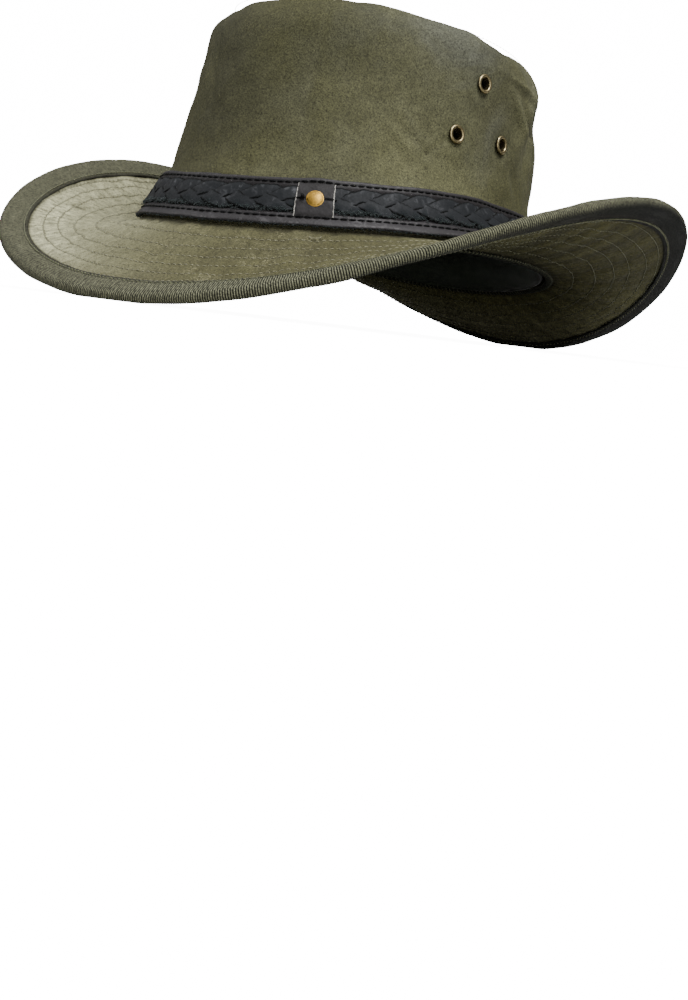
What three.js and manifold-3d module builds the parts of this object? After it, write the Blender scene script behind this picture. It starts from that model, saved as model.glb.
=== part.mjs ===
// A waxed cotton bush hat with a curled brim and a braided leather band.
// Millimetres, +Z up. The hat rests on its brim at z = 0, its front faces -Y
// and the wearer's left is +X. An angle of 0 is the front, 90 the wearer's left.
import * as THREE from "three";
import Module from "manifold-3d";

const wasm = await Module();
wasm.setup();

const DEGREE = Math.PI / 180;
const GAP = 0.3; // clearance between neighbouring pieces

// Cloth, leather and tape thicknesses.
const CROWN_CLOTH = 1.8;
const BRIM_CLOTH = 2.6;
const SWEATBAND_CLOTH = 1.3;
const BINDING_TAPE = 1.0;
const LEATHER = 1.7;

// The crown's oval at three levels. Its height changes round the oval:
// height + frontLift * cos(angle) + endLift * cos(2 * angle), less a soft sag on the right.
const CROWN_LEVELS = {
  seam: { halfLength: 114.0, halfWidth: 95.6, centreY: -2.6, height: 37.6, frontLift: 4.8, endLift: -4.9, sag: 4.5 },
  waist: { halfLength: 100.9, halfWidth: 82.9, centreY: -4.7, height: 59.4, frontLift: 8.3, endLift: -4.9, sag: 2.5 },
  shoulder: { halfLength: 85.8, halfWidth: 74.5, centreY: 2.4, height: 139.3, frontLift: 8.6, endLift: -0.9, sag: 0 },
};
const SAG = { angle: -62, spread: 28 };
const SHOULDER_INSET = 9.5; // from the outer corner to the crest
const SHOULDER_START = 0.9; // share of the wall where the rounding begins
const DISH_DEPTH = 7; // how far the top sinks inside its crest
const CREASE = { depth: 11, halfWidth: 19, fade: 0.9 }; // the lengthwise dent in the top

// Soft folds and dents in the crown's wall, pushed along its normal.
const CROWN_FOLDS = [
  { name: "puffed corner, left", angle: 119, height: 117, angleSpread: 22, heightSpread: 13, lean: 0, push: 4.2 },
  { name: "puffed corner, right", angle: -122, height: 115, angleSpread: 20, heightSpread: 12, lean: 0, push: 3.4 },
  { name: "pinch under the corner", angle: 122, height: 112, angleSpread: 11, heightSpread: 7.7, lean: 0.2, push: -4 },
  { name: "fuller wall below it", angle: 124, height: 86, angleSpread: 17, heightSpread: 17, lean: 0, push: 3.4 },
  { name: "ridge by the eyelets", angle: 104, height: 100, angleSpread: 4, heightSpread: 18, lean: -0.35, push: 1.6 },
  { name: "hollow behind it", angle: 112, height: 96, angleSpread: 4, heightSpread: 15, lean: -0.35, push: -1.6 },
  { name: "dent above the band", angle: 92, height: 62, angleSpread: 8, heightSpread: 7, lean: 0.5, push: -1.6 },
  { name: "slack cloth, left", angle: 54, height: 80, angleSpread: 6, heightSpread: 18, lean: -0.3, push: -1.1 },
  { name: "hollow, right", angle: -74, height: 88, angleSpread: 14, heightSpread: 18, lean: 0.2, push: -1.8 },
  { name: "hollow at the back", angle: 180, height: 98, angleSpread: 12, heightSpread: 14, lean: 0, push: -3.0 },
];

// The brim's rolled edge, a closed curve: sums of cosines and sines of the angle.
const EDGE = {
  halfWidth: { one: 156.0, two: 2.7, three: 1.2 }, // X, by sines of 1, 2 and 3 times the angle
  halfLength: { one: 174.9, two: -0.3, three: -2.6, shift: -0.3 }, // -Y, by cosines
  height: { mean: 36.8, one: -4.3, two: -34.7, three: 4.3 }, // Z, by cosines
};
const CURL = { mean: 26, one: -15, two: -8, four: -4 }; // degrees of bend from seam to edge
const BRIM_LAP = 3.3; // the brim runs this far in, under the crown's wall

const ROLL_RADIUS = 2.7; // the bound edge
const BINDING_ARM = 11; // how far the tape reaches in from the roll
const PRESSED = 1.1; // tape lower than this lies flat on the floor

const SWEATBAND = { inset: 4.8, drop: 1.0, rise: 34, lean: 1.5 };
const OPENING_TAPE = { inset: 1.4, width: 4.2, thickness: 1.5 };

// The leather strap round the crown, by distance up the wall from the seam.
const STRAP = { bottom: 2.8, top: 26.3, lipStandoff: 1.5, rim: 4.2, recess: 0.6 };
const braidLow = STRAP.bottom + STRAP.rim;
const braidHigh = STRAP.top - STRAP.rim;
const BRAID = { thickness: 1.7, relief: 0.7, lobes: 50, skew: 0.5, edge: 0.6 };
const KEEPER = { angle: 30.7, halfAngle: 4.5, thickness: 2.0 };
const STUD = { radius: 3.7, dome: 1.9, shank: 1.0, seat: 0.5 };
const STUD_HOLE = 1.35;

const EYELET = { outer: 4.5, hole: 2.5, barrel: 3.0, flange: 0.8, standoff: 0.6, sides: 10 };
const EYELET_HOLE = EYELET.barrel + GAP;
const EYELET_PLACES = [
  { name: "front", angle: 71, height: 93.6 },
  { name: "top", angle: 79, height: 119.2 },
  { name: "back", angle: 91, height: 93.3 },
];

const STEPS = 54; // round the hat
const UP = new THREE.Vector3(0, 0, 1);

const material = (color, roughness, metalness = 0) =>
  new THREE.MeshStandardMaterial({ color, roughness, metalness });
const waxedCotton = material(0x5a573f, 0.75);
const bindingTape = material(0x5c5d46, 0.85);
const blackLeather = material(0x2c2d30, 0.5);
const braidLeather = material(0x2a3335, 0.6);
const sweatCloth = material(0x33352a, 0.7);
const brass = material(0xb08d4f, 0.35, 1);
const agedBrass = material(0x7d6b43, 0.4, 1);

// A bump that is 1 in its middle and fades both ways.
const bump = (offset, spread) => Math.exp(-((offset / spread) ** 2));

// The turn in degrees from one direction to an angle, between -180 and 180.
const turnFrom = (direction, angle) => ((((angle / DEGREE - direction) % 360) + 540) % 360) - 180;

// A point on one of the crown's ovals.
function levelPoint(level, angle) {
  return new THREE.Vector3(
    level.halfWidth * Math.sin(angle),
    level.centreY - level.halfLength * Math.cos(angle),
    level.height +
      level.frontLift * Math.cos(angle) +
      level.endLift * Math.cos(2 * angle) -
      level.sag * bump(turnFrom(SAG.angle, angle), SAG.spread),
  );
}

const wallCurve = (angle) =>
  new THREE.CatmullRomCurve3(
    [CROWN_LEVELS.seam, CROWN_LEVELS.waist, CROWN_LEVELS.shoulder].map((level) => levelPoint(level, angle)),
    false,
    "centripetal",
  );

// The crest is the highest line of the crown, inside its rounded corner.
const crestPoint = (angle, share = 1) => {
  const { halfLength, halfWidth, centreY } = CROWN_LEVELS.shoulder;
  const x = (halfWidth - SHOULDER_INSET) * share * Math.sin(angle);
  const y = centreY - (halfLength - SHOULDER_INSET) * share * Math.cos(angle);
  return new THREE.Vector3(x, y, topHeight(x, y, angle, share));
};

// The top's height: level with the shoulder at the crest, dished and creased inside it.
function topHeight(x, y, angle, share) {
  const { height, frontLift, endLift } = CROWN_LEVELS.shoulder;
  const rim = height + frontLift * share * Math.cos(angle) + endLift * share ** 2 * Math.cos(2 * angle);
  const inside = 1 - share ** 2;
  const crease = CREASE.depth * bump(x, CREASE.halfWidth) * Math.min(1, inside / CREASE.fade);
  return rim - DISH_DEPTH * inside ** 1.5 - crease;
}

// The crown's profile without folds. 0 to 1 is the wall, 1 to 2 the rounded
// shoulder up to the crest, 2 to 3 the top from the crest to its centre.
function crownProfile(angle, along) {
  const wall = wallCurve(angle);
  if (along <= 1) return wall.getPoint(along * SHOULDER_START);
  if (along >= 2) return crestPoint(angle, 3 - along);
  const start = wall.getPoint(SHOULDER_START);
  const direction = wall.getTangent(SHOULDER_START);
  const crest = crestPoint(angle);
  const corner = start.clone().addScaledVector(direction, (crest.z - start.z) / direction.z);
  return new THREE.QuadraticBezierCurve3(start, corner, crest).getPoint(along - 1);
}

// How far the folds push the crown out at an angle and height.
function foldPush(angle, height) {
  let push = 0;
  for (const fold of CROWN_FOLDS) {
    const up = height - fold.height;
    const round = turnFrom(fold.angle - fold.lean * up, angle);
    push += fold.push * bump(up, fold.heightSpread) * bump(round, fold.angleSpread);
  }
  return push;
}

// The outward normal of any surface given by a function of angle and distance along.
function surfaceNormal(surface, angle, along) {
  const step = 0.01;
  const round = surface(angle + step, along).sub(surface(angle - step, along));
  const up = surface(angle, along + step).sub(surface(angle, along - step));
  return round.cross(up).normalize();
}

// A point on the crown's cloth, the given depth inside its outer face.
function crownPoint(angle, along, depth = 0) {
  const stop = Math.min(Math.max(along, 0.02), 2.98);
  const point = crownProfile(angle, along);
  const normal = surfaceNormal(crownProfile, angle, stop);
  return point.addScaledVector(normal, foldPush(angle, point.z) - depth);
}

// The share of the wall's curve at a distance up from the seam.
const wallShare = (angle, distance) => {
  const curve = wallCurve(angle);
  return curve.getUtoTmapping(0, distance) / SHOULDER_START;
};

function edgePoint(angle) {
  const { halfWidth, halfLength, height } = EDGE;
  const z =
    height.mean + height.one * Math.cos(angle) + height.two * Math.cos(2 * angle) + height.three * Math.cos(3 * angle);
  return new THREE.Vector3(
    halfWidth.one * Math.sin(angle) + halfWidth.two * Math.sin(2 * angle) + halfWidth.three * Math.sin(3 * angle),
    halfLength.shift -
      halfLength.one * Math.cos(angle) -
      halfLength.two * Math.cos(2 * angle) -
      halfLength.three * Math.cos(3 * angle),
    z,
  );
}

// The middle of the brim's cloth from seam to edge, bent by the curl.
function brimCurve(angle) {
  const seam = levelPoint(CROWN_LEVELS.seam, angle);
  const edge = edgePoint(angle);
  const chord = edge.clone().sub(seam);
  const bend =
    (CURL.mean + CURL.one * Math.cos(angle) + CURL.two * Math.cos(2 * angle) + CURL.four * Math.cos(4 * angle)) * DEGREE;
  const level = new THREE.Vector3(chord.x, chord.y, 0).normalize();
  const lift = new THREE.Vector3(-level.x * chord.z, -level.y * chord.z, chord.dot(level)).normalize();
  const middle = seam.clone().addScaledVector(chord, 0.5);
  middle.addScaledVector(lift, (-chord.length() / 2) * Math.tan(bend / 2));
  return new THREE.QuadraticBezierCurve3(seam, middle, edge);
}

// A frame on the brim: a point, the way out and the way up, at a distance from the seam or the edge.
function brimFrame(angle, { fromSeam, fromEdge }) {
  const curve = brimCurve(angle);
  const length = curve.getLength();
  const distance = fromSeam ?? length - fromEdge;
  const inside = Math.min(Math.max(distance, 0), length);
  const share = curve.getUtoTmapping(0, inside);
  const out = curve.getTangent(share);
  const point = curve.getPoint(share).addScaledVector(out, distance - inside);
  const along = edgePoint(angle + 0.01).sub(edgePoint(angle - 0.01)).normalize();
  const up = new THREE.Vector3().crossVectors(out, along).normalize();
  return { point, out, up };
}

// A closed ring: section(angle) gives the same number of points at every step.
function ringSolid(section, steps = STEPS, from = 0, to = 360) {
  const closed = to - from === 360;
  const count = closed ? steps : steps + 1;
  const rings = Array.from({ length: count }, (_, i) => section((from + ((to - from) * i) / steps) * DEGREE));
  const size = rings[0].length;
  const radius = (point) => Math.hypot(point.x, point.y);
  const faces = [];
  for (let i = 0; i < steps; i++)
    for (let j = 0; j < size; j++) {
      const here = i * size;
      const next = ((i + 1) % count) * size;
      const k = (j + 1) % size;
      // Layers that lie on each other split their faces the same way.
      if (radius(rings[i][j]) < radius(rings[i][k]))
        faces.push(here + j, next + j, next + k, here + j, next + k, here + k);
      else faces.push(here + j, next + j, here + k, next + j, next + k, here + k);
    }
  if (!closed)
    for (let j = 1; j < size - 1; j++) {
      const last = steps * size;
      faces.push(0, j, j + 1, last, last + j + 1, last + j);
    }
  return bufferGeometry(rings.flat(), faces);
}

function bufferGeometry(points, faces) {
  const geometry = new THREE.BufferGeometry().setFromPoints(points);
  geometry.setIndex(faces);
  geometry.computeVertexNormals();
  return geometry;
}

// three.js geometry to a solid that can be cut, and back.
function toSolid(geometry) {
  const position = geometry.getAttribute("position");
  const seen = new Map();
  const corners = [];
  const merged = Array.from({ length: position.count }, (_, i) => {
    const point = [position.getX(i), position.getY(i), position.getZ(i)];
    const key = point.map((value) => value.toFixed(4)).join();
    if (!seen.has(key)) seen.set(key, corners.push(point) - 1);
    return seen.get(key);
  });
  const index = Array.from(geometry.index.array, (i) => merged[i]);
  const faces = [];
  for (let i = 0; i < index.length; i += 3) {
    const [a, b, c] = index.slice(i, i + 3);
    if (a !== b && b !== c && c !== a) faces.push(a, b, c);
  }
  return new wasm.Manifold(
    new wasm.Mesh({ numProp: 3, vertProperties: new Float32Array(corners.flat()), triVerts: new Uint32Array(faces) }),
  );
}

function fromSolid(solid) {
  const { vertProperties, triVerts } = solid.getMesh();
  const geometry = new THREE.BufferGeometry();
  geometry.setAttribute("position", new THREE.BufferAttribute(vertProperties, 3));
  geometry.setIndex(new THREE.BufferAttribute(triVerts, 1));
  geometry.computeVertexNormals();
  return geometry;
}

// A round cutter of the given radius, standing on a point along a direction.
function drill(radius, length, point, direction, sides = EYELET.sides) {
  const cutter = new THREE.CylinderGeometry(radius, radius, length, sides);
  cutter.applyQuaternion(new THREE.Quaternion().setFromUnitVectors(new THREE.Vector3(0, 1, 0), direction));
  cutter.translate(point.x, point.y, point.z);
  return toSolid(cutter);
}

// Where a rising function of one number crosses zero.
function crossing(rising, low, high) {
  for (let i = 0; i < 30; i++) {
    const middle = (low + high) / 2;
    if (rising(middle) < 0) low = middle;
    else high = middle;
  }
  return low;
}

// Where an eyelet sits: a point on the crown's outer face and its normal.
function eyeletSeat(side, place) {
  const angle = side * place.angle * DEGREE;
  const along = crossing((share) => crownPoint(angle, share).z - place.height, 0, 1);
  const normal = surfaceNormal(crownPoint, angle, along);
  return { point: crownPoint(angle, along), normal };
}

// Where the wall's cloth, at some depth, clears the brim's top face.
function footShare(angle, depth) {
  const { point, up } = brimFrame(angle, { fromSeam: 0 });
  const lift = (share) => crownPoint(angle, share, depth).sub(point).dot(up);
  return crossing((share) => lift(share) - BRIM_CLOTH / 2 - GAP, 0, 0.5);
}

const hat = new THREE.Group();
hat.name = "bush_hat";
function addPiece(name, geometry, look) {
  const mesh = new THREE.Mesh(geometry, look);
  mesh.name = name;
  hat.add(mesh);
  return mesh;
}

const seats = [];
for (const [side, sideName] of [[1, "left"], [-1, "right"]])
  for (const place of EYELET_PLACES) seats.push({ name: `eyelet_${sideName}_${place.name}`, ...eyeletSeat(side, place) });

// The crown's wall and shoulder: outer face up, inner face back down.
function makeCrownSide() {
  const underStrap = [braidLow, (braidLow + braidHigh) / 2, STRAP.top];
  const aboveStrap = [0.66, 0.77, 0.88, 1, 1.33, 1.66, 2];
  const cloth = ringSolid((angle) => {
    const shares = [...underStrap.map((distance) => wallShare(angle, distance)), ...aboveStrap];
    const face = (depth) => [footShare(angle, depth), ...shares].map((along) => crownPoint(angle, along, depth));
    return [...face(0), ...face(CROWN_CLOTH).reverse()];
  });
  let solid = toSolid(cloth);
  for (const { point, normal } of seats) solid = solid.subtract(drill(EYELET_HOLE, 12, point, normal));
  return fromSolid(solid);
}

// The dished top panel, sewn in at the crest.
function makeCrownTip() {
  const edge = 2 + GAP / 60;
  const shares = [edge, 2.18, 2.38, 2.6, 2.83];
  const points = [];
  const faces = [];
  for (const depth of [0, CROWN_CLOTH])
    for (const along of shares)
      for (let i = 0; i < STEPS; i++) points.push(crownPoint((i / STEPS) * 2 * Math.PI, along, depth));
  const centre = crestPoint(0, 0);
  const topCentre = points.push(centre) - 1;
  const underCentre = points.push(centre.clone().addScaledVector(UP, -CROWN_CLOTH)) - 1;
  const ring = (layer, row, i) => (layer * shares.length + row) * STEPS + (i % STEPS);
  for (let i = 0; i < STEPS; i++) {
    for (let row = 0; row < shares.length - 1; row++) {
      const top = [ring(0, row, i), ring(0, row, i + 1), ring(0, row + 1, i + 1), ring(0, row + 1, i)];
      const under = [ring(1, row, i), ring(1, row, i + 1), ring(1, row + 1, i + 1), ring(1, row + 1, i)];
      faces.push(top[0], top[1], top[2], top[0], top[2], top[3]);
      faces.push(under[0], under[2], under[1], under[0], under[3], under[2]);
    }
    const last = shares.length - 1;
    faces.push(ring(0, last, i), ring(0, last, i + 1), topCentre);
    faces.push(ring(1, last, i + 1), ring(1, last, i), underCentre);
    const rim = [ring(1, 0, i), ring(1, 0, i + 1), ring(0, 0, i + 1), ring(0, 0, i)];
    faces.push(rim[0], rim[1], rim[2], rim[0], rim[2], rim[3]);
  }
  return bufferGeometry(points, faces);
}

function makeBrim() {
  return ringSolid((angle) => {
    const open = brimCurve(angle).getLength() - BINDING_ARM;
    const stops = [-BRIM_LAP, 0, open * 0.25, open * 0.5, open * 0.75, open, open + BINDING_ARM];
    const face = (side) =>
      stops.map((stop) => {
        const { point, up } = brimFrame(angle, { fromSeam: stop });
        return point.addScaledVector(up, (side * BRIM_CLOTH) / 2);
      });
    return [...face(-1), ...face(1).reverse()];
  });
}

// Ribbed tape folded round the brim's edge over a soft roll. It lies flat where the hat rests.
function makeBinding() {
  const channel = BRIM_CLOTH / 2 + GAP;
  const nose = [-90, -54, -18, 18, 54, 90];
  return ringSolid((angle) => {
    const place = (out, up) => {
      const frame = brimFrame(angle, { fromEdge: -Math.min(out, 0) });
      const point = frame.point.addScaledVector(frame.out, Math.max(out, 0)).addScaledVector(frame.up, up);
      if (point.z < PRESSED) point.z = 0;
      return point;
    };
    return [
      place(-BINDING_ARM, -channel - BINDING_TAPE),
      ...nose.map((turn) => place(ROLL_RADIUS * Math.cos(turn * DEGREE), ROLL_RADIUS * Math.sin(turn * DEGREE))),
      place(-BINDING_ARM, channel + BINDING_TAPE),
      place(-BINDING_ARM, channel),
      place(GAP, channel),
      place(GAP, -channel),
      place(-BINDING_ARM, -channel),
    ];
  });
}

// The tape that covers the seam between brim and crown, seen from below.
function makeOpeningTape() {
  const { inset, width, thickness } = OPENING_TAPE;
  const top = BRIM_CLOTH / 2 + GAP;
  return ringSolid((angle) => {
    const place = (out, down) => {
      const frame = brimFrame(angle, { fromSeam: -inset + out });
      return frame.point.addScaledVector(frame.up, -down);
    };
    return [
      place(-width / 2, top),
      place(-width / 2, top + thickness * 0.6),
      place(-width / 4, top + thickness),
      place(width / 4, top + thickness),
      place(width / 2, top + thickness * 0.6),
      place(width / 2, top),
    ];
  });
}

function makeSweatband() {
  const { inset, drop, rise, lean } = SWEATBAND;
  return ringSolid((angle) => {
    const place = (height, depth) => {
      const seam = levelPoint(CROWN_LEVELS.seam, angle);
      const along = wallShare(angle, Math.max(height, 0));
      const point = crownProfile(angle, along);
      const inward = new THREE.Vector3(-point.x, seam.y - point.y - seam.y, 0).normalize();
      point.addScaledVector(inward, depth);
      point.z += Math.min(height, 0);
      return point;
    };
    return [
      place(-drop, inset),
      place(rise * 0.5, inset + lean * 0.4),
      place(rise, inset + lean),
      place(rise, inset + lean + SWEATBAND_CLOTH),
      place(rise * 0.5, inset + lean * 0.4 + SWEATBAND_CLOTH),
      place(-drop, inset + SWEATBAND_CLOTH),
    ];
  }, STEPS);
}

// A point on the strap: a distance up the wall and a height off the cloth.
function strapPoint(angle, distance, off) {
  const along = wallShare(angle, distance);
  const normal = surfaceNormal(crownPoint, angle, Math.max(along, 0.05));
  return crownPoint(angle, along).addScaledVector(normal, GAP + off);
}

// The strap: a flat band with a raised rim along both edges, the lower one standing off.
function makeStrap() {
  const { bottom, top, lipStandoff, recess } = STRAP;
  const strap = ringSolid((angle) => [
    strapPoint(angle, bottom, lipStandoff),
    strapPoint(angle, bottom, lipStandoff + LEATHER),
    strapPoint(angle, braidLow - 0.4, LEATHER + 0.3),
    strapPoint(angle, braidLow, LEATHER - recess),
    strapPoint(angle, braidHigh, LEATHER - recess),
    strapPoint(angle, braidHigh + 0.4, LEATHER),
    strapPoint(angle, top, LEATHER - 0.3),
    strapPoint(angle, top, 0),
    strapPoint(angle, braidLow, 0),
  ]);
  return fromSolid(toSolid(strap).subtract(studHole()));
}

const braidBed = LEATHER - STRAP.recess + GAP;
const braidGap = 0.25; // degrees between the braid's ends and the keeper

// The braid: one strip of leather lobes that slant back from a middle line.
function makeBraid() {
  const { thickness, relief, lobes, skew, edge } = BRAID;
  const from = KEEPER.angle + KEEPER.halfAngle + braidGap;
  const to = 360 + KEEPER.angle - KEEPER.halfAngle - braidGap;
  const low = braidLow + GAP;
  const high = braidHigh - GAP;
  return ringSolid(
    (angle) => {
      const turn = (angle / DEGREE - from) / (to - from);
      const lobe = (share) => {
        const phase = turn * lobes - skew * Math.abs(share - 0.6) * 2;
        return thickness + relief * Math.cos(2 * Math.PI * phase);
      };
      const place = (share, off) => strapPoint(angle, low + (high - low) * share, braidBed + off);
      return [
        place(0, 0),
        place(0, edge),
        place(0.25, lobe(0.25)),
        place(0.6, lobe(0.6) - relief / 2),
        place(0.85, lobe(0.85)),
        place(1, edge),
        place(1, 0),
      ];
    },
    lobes * 2,
    from,
    to,
  );
}

// The keeper: a leather patch over the braid's ends, with a slit that holds the stud.
function makeKeeper() {
  const low = braidLow + GAP;
  const high = braidHigh - GAP;
  const from = KEEPER.angle - KEEPER.halfAngle;
  const to = KEEPER.angle + KEEPER.halfAngle;
  const patch = ringSolid(
    (angle) => [
      strapPoint(angle, low, braidBed),
      strapPoint(angle, low, braidBed + KEEPER.thickness - 0.4),
      strapPoint(angle, low + 1, braidBed + KEEPER.thickness),
      strapPoint(angle, high - 1, braidBed + KEEPER.thickness),
      strapPoint(angle, high, braidBed + KEEPER.thickness - 0.4),
      strapPoint(angle, high, braidBed),
    ],
    6,
    from,
    to,
  );
  return fromSolid(toSolid(patch).subtract(studHole()));
}

// The stud's seat on the keeper, and the hole for its shank.
function studSeat() {
  const angle = KEEPER.angle * DEGREE;
  const middle = (braidLow + braidHigh) / 2;
  const foot = strapPoint(angle, middle, 0);
  const seat = strapPoint(angle, middle, braidBed + KEEPER.thickness + GAP);
  return { foot, seat, normal: seat.clone().sub(foot).normalize() };
}
function studHole() {
  const { foot, normal } = studSeat();
  return drill(STUD_HOLE, 16, foot, normal);
}

function makeStud() {
  const { foot, seat } = studSeat();
  const depth = seat.distanceTo(foot) - STUD.seat;
  const profile = [
    [0, -depth],
    [STUD.shank, -depth],
    [STUD.shank, 0],
    [STUD.radius, 0],
    [STUD.radius, STUD.dome * 0.25],
    [STUD.radius * 0.82, STUD.dome * 0.7],
    [STUD.radius * 0.45, STUD.dome * 0.95],
    [0, STUD.dome],
  ].map(([x, y]) => new THREE.Vector2(x, y));
  return new THREE.LatheGeometry(profile, 16);
}

// An eyelet: a rolled outer flange, a barrel through the cloth and a flat inner flange.
function makeEyelet() {
  const { outer, hole, barrel, flange, standoff, sides } = EYELET;
  const inner = -CROWN_CLOTH - standoff;
  const profile = [
    [hole, inner - flange * 0.7],
    [outer - 0.4, inner - flange * 0.7],
    [outer - 0.4, inner],
    [barrel, inner],
    [barrel, standoff],
    [outer, standoff],
    [(outer + hole) / 2, standoff + flange],
    [hole, standoff + flange * 0.3],
    [hole, inner - flange * 0.7],
  ].map(([x, y]) => new THREE.Vector2(x, y));
  return new THREE.LatheGeometry(profile, sides);
}

addPiece("crown_side", makeCrownSide(), waxedCotton);
addPiece("crown_tip", makeCrownTip(), waxedCotton);
addPiece("brim", makeBrim(), waxedCotton);
addPiece("brim_binding", makeBinding(), bindingTape);
addPiece("opening_tape", makeOpeningTape(), bindingTape);
addPiece("sweatband", makeSweatband(), sweatCloth);
addPiece("band_strap", makeStrap(), blackLeather);
addPiece("band_braid", makeBraid(), braidLeather);
addPiece("band_keeper", makeKeeper(), blackLeather);

const stud = addPiece("band_stud", makeStud(), brass);
stud.position.copy(studSeat().seat);
stud.quaternion.setFromUnitVectors(new THREE.Vector3(0, 1, 0), studSeat().normal);

for (const { name, point, normal } of seats) {
  const eyelet = addPiece(name, makeEyelet(), agedBrass);
  eyelet.position.copy(point);
  eyelet.quaternion.setFromUnitVectors(new THREE.Vector3(0, 1, 0), normal);
}

export default hat;
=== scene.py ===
# A waxed cotton bush hat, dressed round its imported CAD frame.
# Sizes are in millimetres unless a note says otherwise, and buildMesh turns them into metres.
# An angle of 0 is the front of the hat (-Y), 90 degrees the wearer's left (+X).
import bmesh
import bpy
import numpy as np
from mathutils import Matrix, Vector


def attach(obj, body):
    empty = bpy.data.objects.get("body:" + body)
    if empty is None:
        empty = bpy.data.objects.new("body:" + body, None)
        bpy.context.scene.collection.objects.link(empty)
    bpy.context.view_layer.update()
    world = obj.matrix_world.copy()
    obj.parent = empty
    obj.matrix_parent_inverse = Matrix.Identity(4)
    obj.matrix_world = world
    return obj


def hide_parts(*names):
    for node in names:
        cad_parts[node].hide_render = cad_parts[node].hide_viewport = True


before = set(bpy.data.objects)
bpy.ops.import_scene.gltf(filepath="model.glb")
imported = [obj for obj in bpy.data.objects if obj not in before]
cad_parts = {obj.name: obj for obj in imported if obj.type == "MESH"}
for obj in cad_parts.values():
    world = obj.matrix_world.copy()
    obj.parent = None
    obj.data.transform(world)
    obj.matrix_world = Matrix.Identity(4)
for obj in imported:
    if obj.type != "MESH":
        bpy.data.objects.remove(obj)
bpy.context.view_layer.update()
print("frame loaded")

turn = 2 * np.pi
wide = 1e9  # a spread that never fades

# The hat's form: the same named sizes as the part's source.
levelSizes = ("halfLength", "halfWidth", "centreY", "height", "frontLift", "endLift", "sag")
crownLevels = {
    "seam": dict(zip(levelSizes, (114.0, 95.6, -2.6, 37.6, 4.8, -4.9, 4.5))),
    "waist": dict(zip(levelSizes, (100.9, 82.9, -4.7, 59.4, 8.3, -4.9, 2.5))),
    "shoulder": dict(zip(levelSizes, (85.8, 74.5, 2.4, 139.3, 8.6, -0.9, 0))),
}
crownShape = {
    "sagAngle": -62, "sagSpread": 28,
    "shoulderInset": 9.5, "shoulderStart": 0.9,
    "dishDepth": 7, "creaseDepth": 11, "creaseHalfWidth": 19, "creaseFade": 0.9,
}
# Each patch: angle, height, spread of angle, spread of height, lean, size.
crownFolds = {
    "puffed corner, left": (119, 117, 22, 13, 0, 4.2),
    "puffed corner, right": (-122, 115, 20, 12, 0, 3.4),
    "pinch under the corner": (122, 112, 11, 7.7, 0.2, -4.0),
    "fuller wall below it": (124, 86, 17, 17, 0, 3.4),
    "ridge by the eyelets": (104, 100, 4, 18, -0.35, 1.6),
    "hollow behind it": (112, 96, 4, 15, -0.35, -1.6),
    "dent above the band": (92, 62, 8, 7, 0.5, -1.6),
    "slack cloth, left": (54, 80, 6, 18, -0.3, -1.1),
    "hollow, right": (-74, 88, 14, 18, 0.2, -1.8),
    "hollow at the back": (180, 98, 12, 14, 0, -3.0),
}
brimShape = {
    # the edge: sizes of the sines and cosines of the angle and of its multiples
    "halfWidth": (156.0, 2.7, 1.2), "halfLength": (174.9, -0.3, -2.6), "shift": -0.3,
    "height": (36.8, -4.3, -34.7, 4.3),
    # degrees that the section bends by: evenly, and with the cosines of 1, 2 and 4 times the angle
    "curl": (26, -15, -8, -4),
    "lap": 3.3, "rows": (10.4, 21.0, 30.3, 38.6, 46.2, 52.9),
}


def bump(offset, spread):  # 1 in its middle, fading both ways as exp(-(offset / spread)^2)
    return np.exp(-((offset / spread) ** 2))


def turnFrom(direction, angle):  # degrees from one direction to an angle, -180 to 180
    return (np.degrees(angle) - direction + 180) % 360 - 180


def lobe(direction, spread, angle):  # 1 where the hat faces a direction, fading to both sides
    return bump(turnFrom(direction, angle), spread)


def patches(table, angle, height):
    # The sum of soft patches: each is its size, faded in height and in angle round its leaning middle.
    total = np.zeros(np.shape(height))
    for direction, level, spread, rise, lean, size in table:
        up = height - level
        total = total + size * bump(up, rise) * lobe(direction - lean * up, spread, angle)
    return total


def unit(vectors):
    return vectors / np.linalg.norm(vectors, axis=-1, keepdims=True)


def stack(*parts):
    return np.stack(np.broadcast_arrays(*parts), axis=-1)


def lengths(line):
    # How far along its line each point lies, for one line or many: the running sum of the steps.
    steps = np.linalg.norm(np.diff(line, axis=-2), axis=-1)
    return np.concatenate([np.zeros_like(steps[..., :1]), np.cumsum(steps, axis=-1)], axis=-1)


def waves(points, wavelength, seed, count=28):
    # A smooth random relief of size about 1: the sum of cosines that run in random directions.
    source = np.random.default_rng(seed)
    direction = unit(source.normal(size=(count, points.shape[-1])))
    rate = turn / (wavelength * source.uniform(0.7, 1.5, count))
    phase = source.uniform(0, turn, count)
    total = np.zeros(points.shape[:-1])
    for way, pace, start in zip(direction, rate, phase):
        total += np.cos(points @ way * pace + start)
    return total * np.sqrt(2 / count)


def rowInterp(wanted, knots, values):
    # For each row, the value at a wanted place between that row's rising knots.
    last = knots.shape[1] - 2
    left = np.clip((wanted[..., None] >= knots[:, None, :]).sum(-1) - 1, 0, last)
    low, high = np.take_along_axis(knots, left, 1), np.take_along_axis(knots, left + 1, 1)
    share = np.clip((wanted - low) / (high - low), 0, 1)
    return values[left] + share * (values[left + 1] - values[left])


def ring(level, angle):
    # An oval whose height is height + frontLift cos(angle) + endLift cos(2 angle), less the sag.
    s = crownLevels[level]
    sag = s["sag"] * lobe(crownShape["sagAngle"], crownShape["sagSpread"], angle)
    height = s["height"] + s["frontLift"] * np.cos(angle) + s["endLift"] * np.cos(2 * angle) - sag
    return stack(s["halfWidth"] * np.sin(angle), s["centreY"] - s["halfLength"] * np.cos(angle), height)


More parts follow.
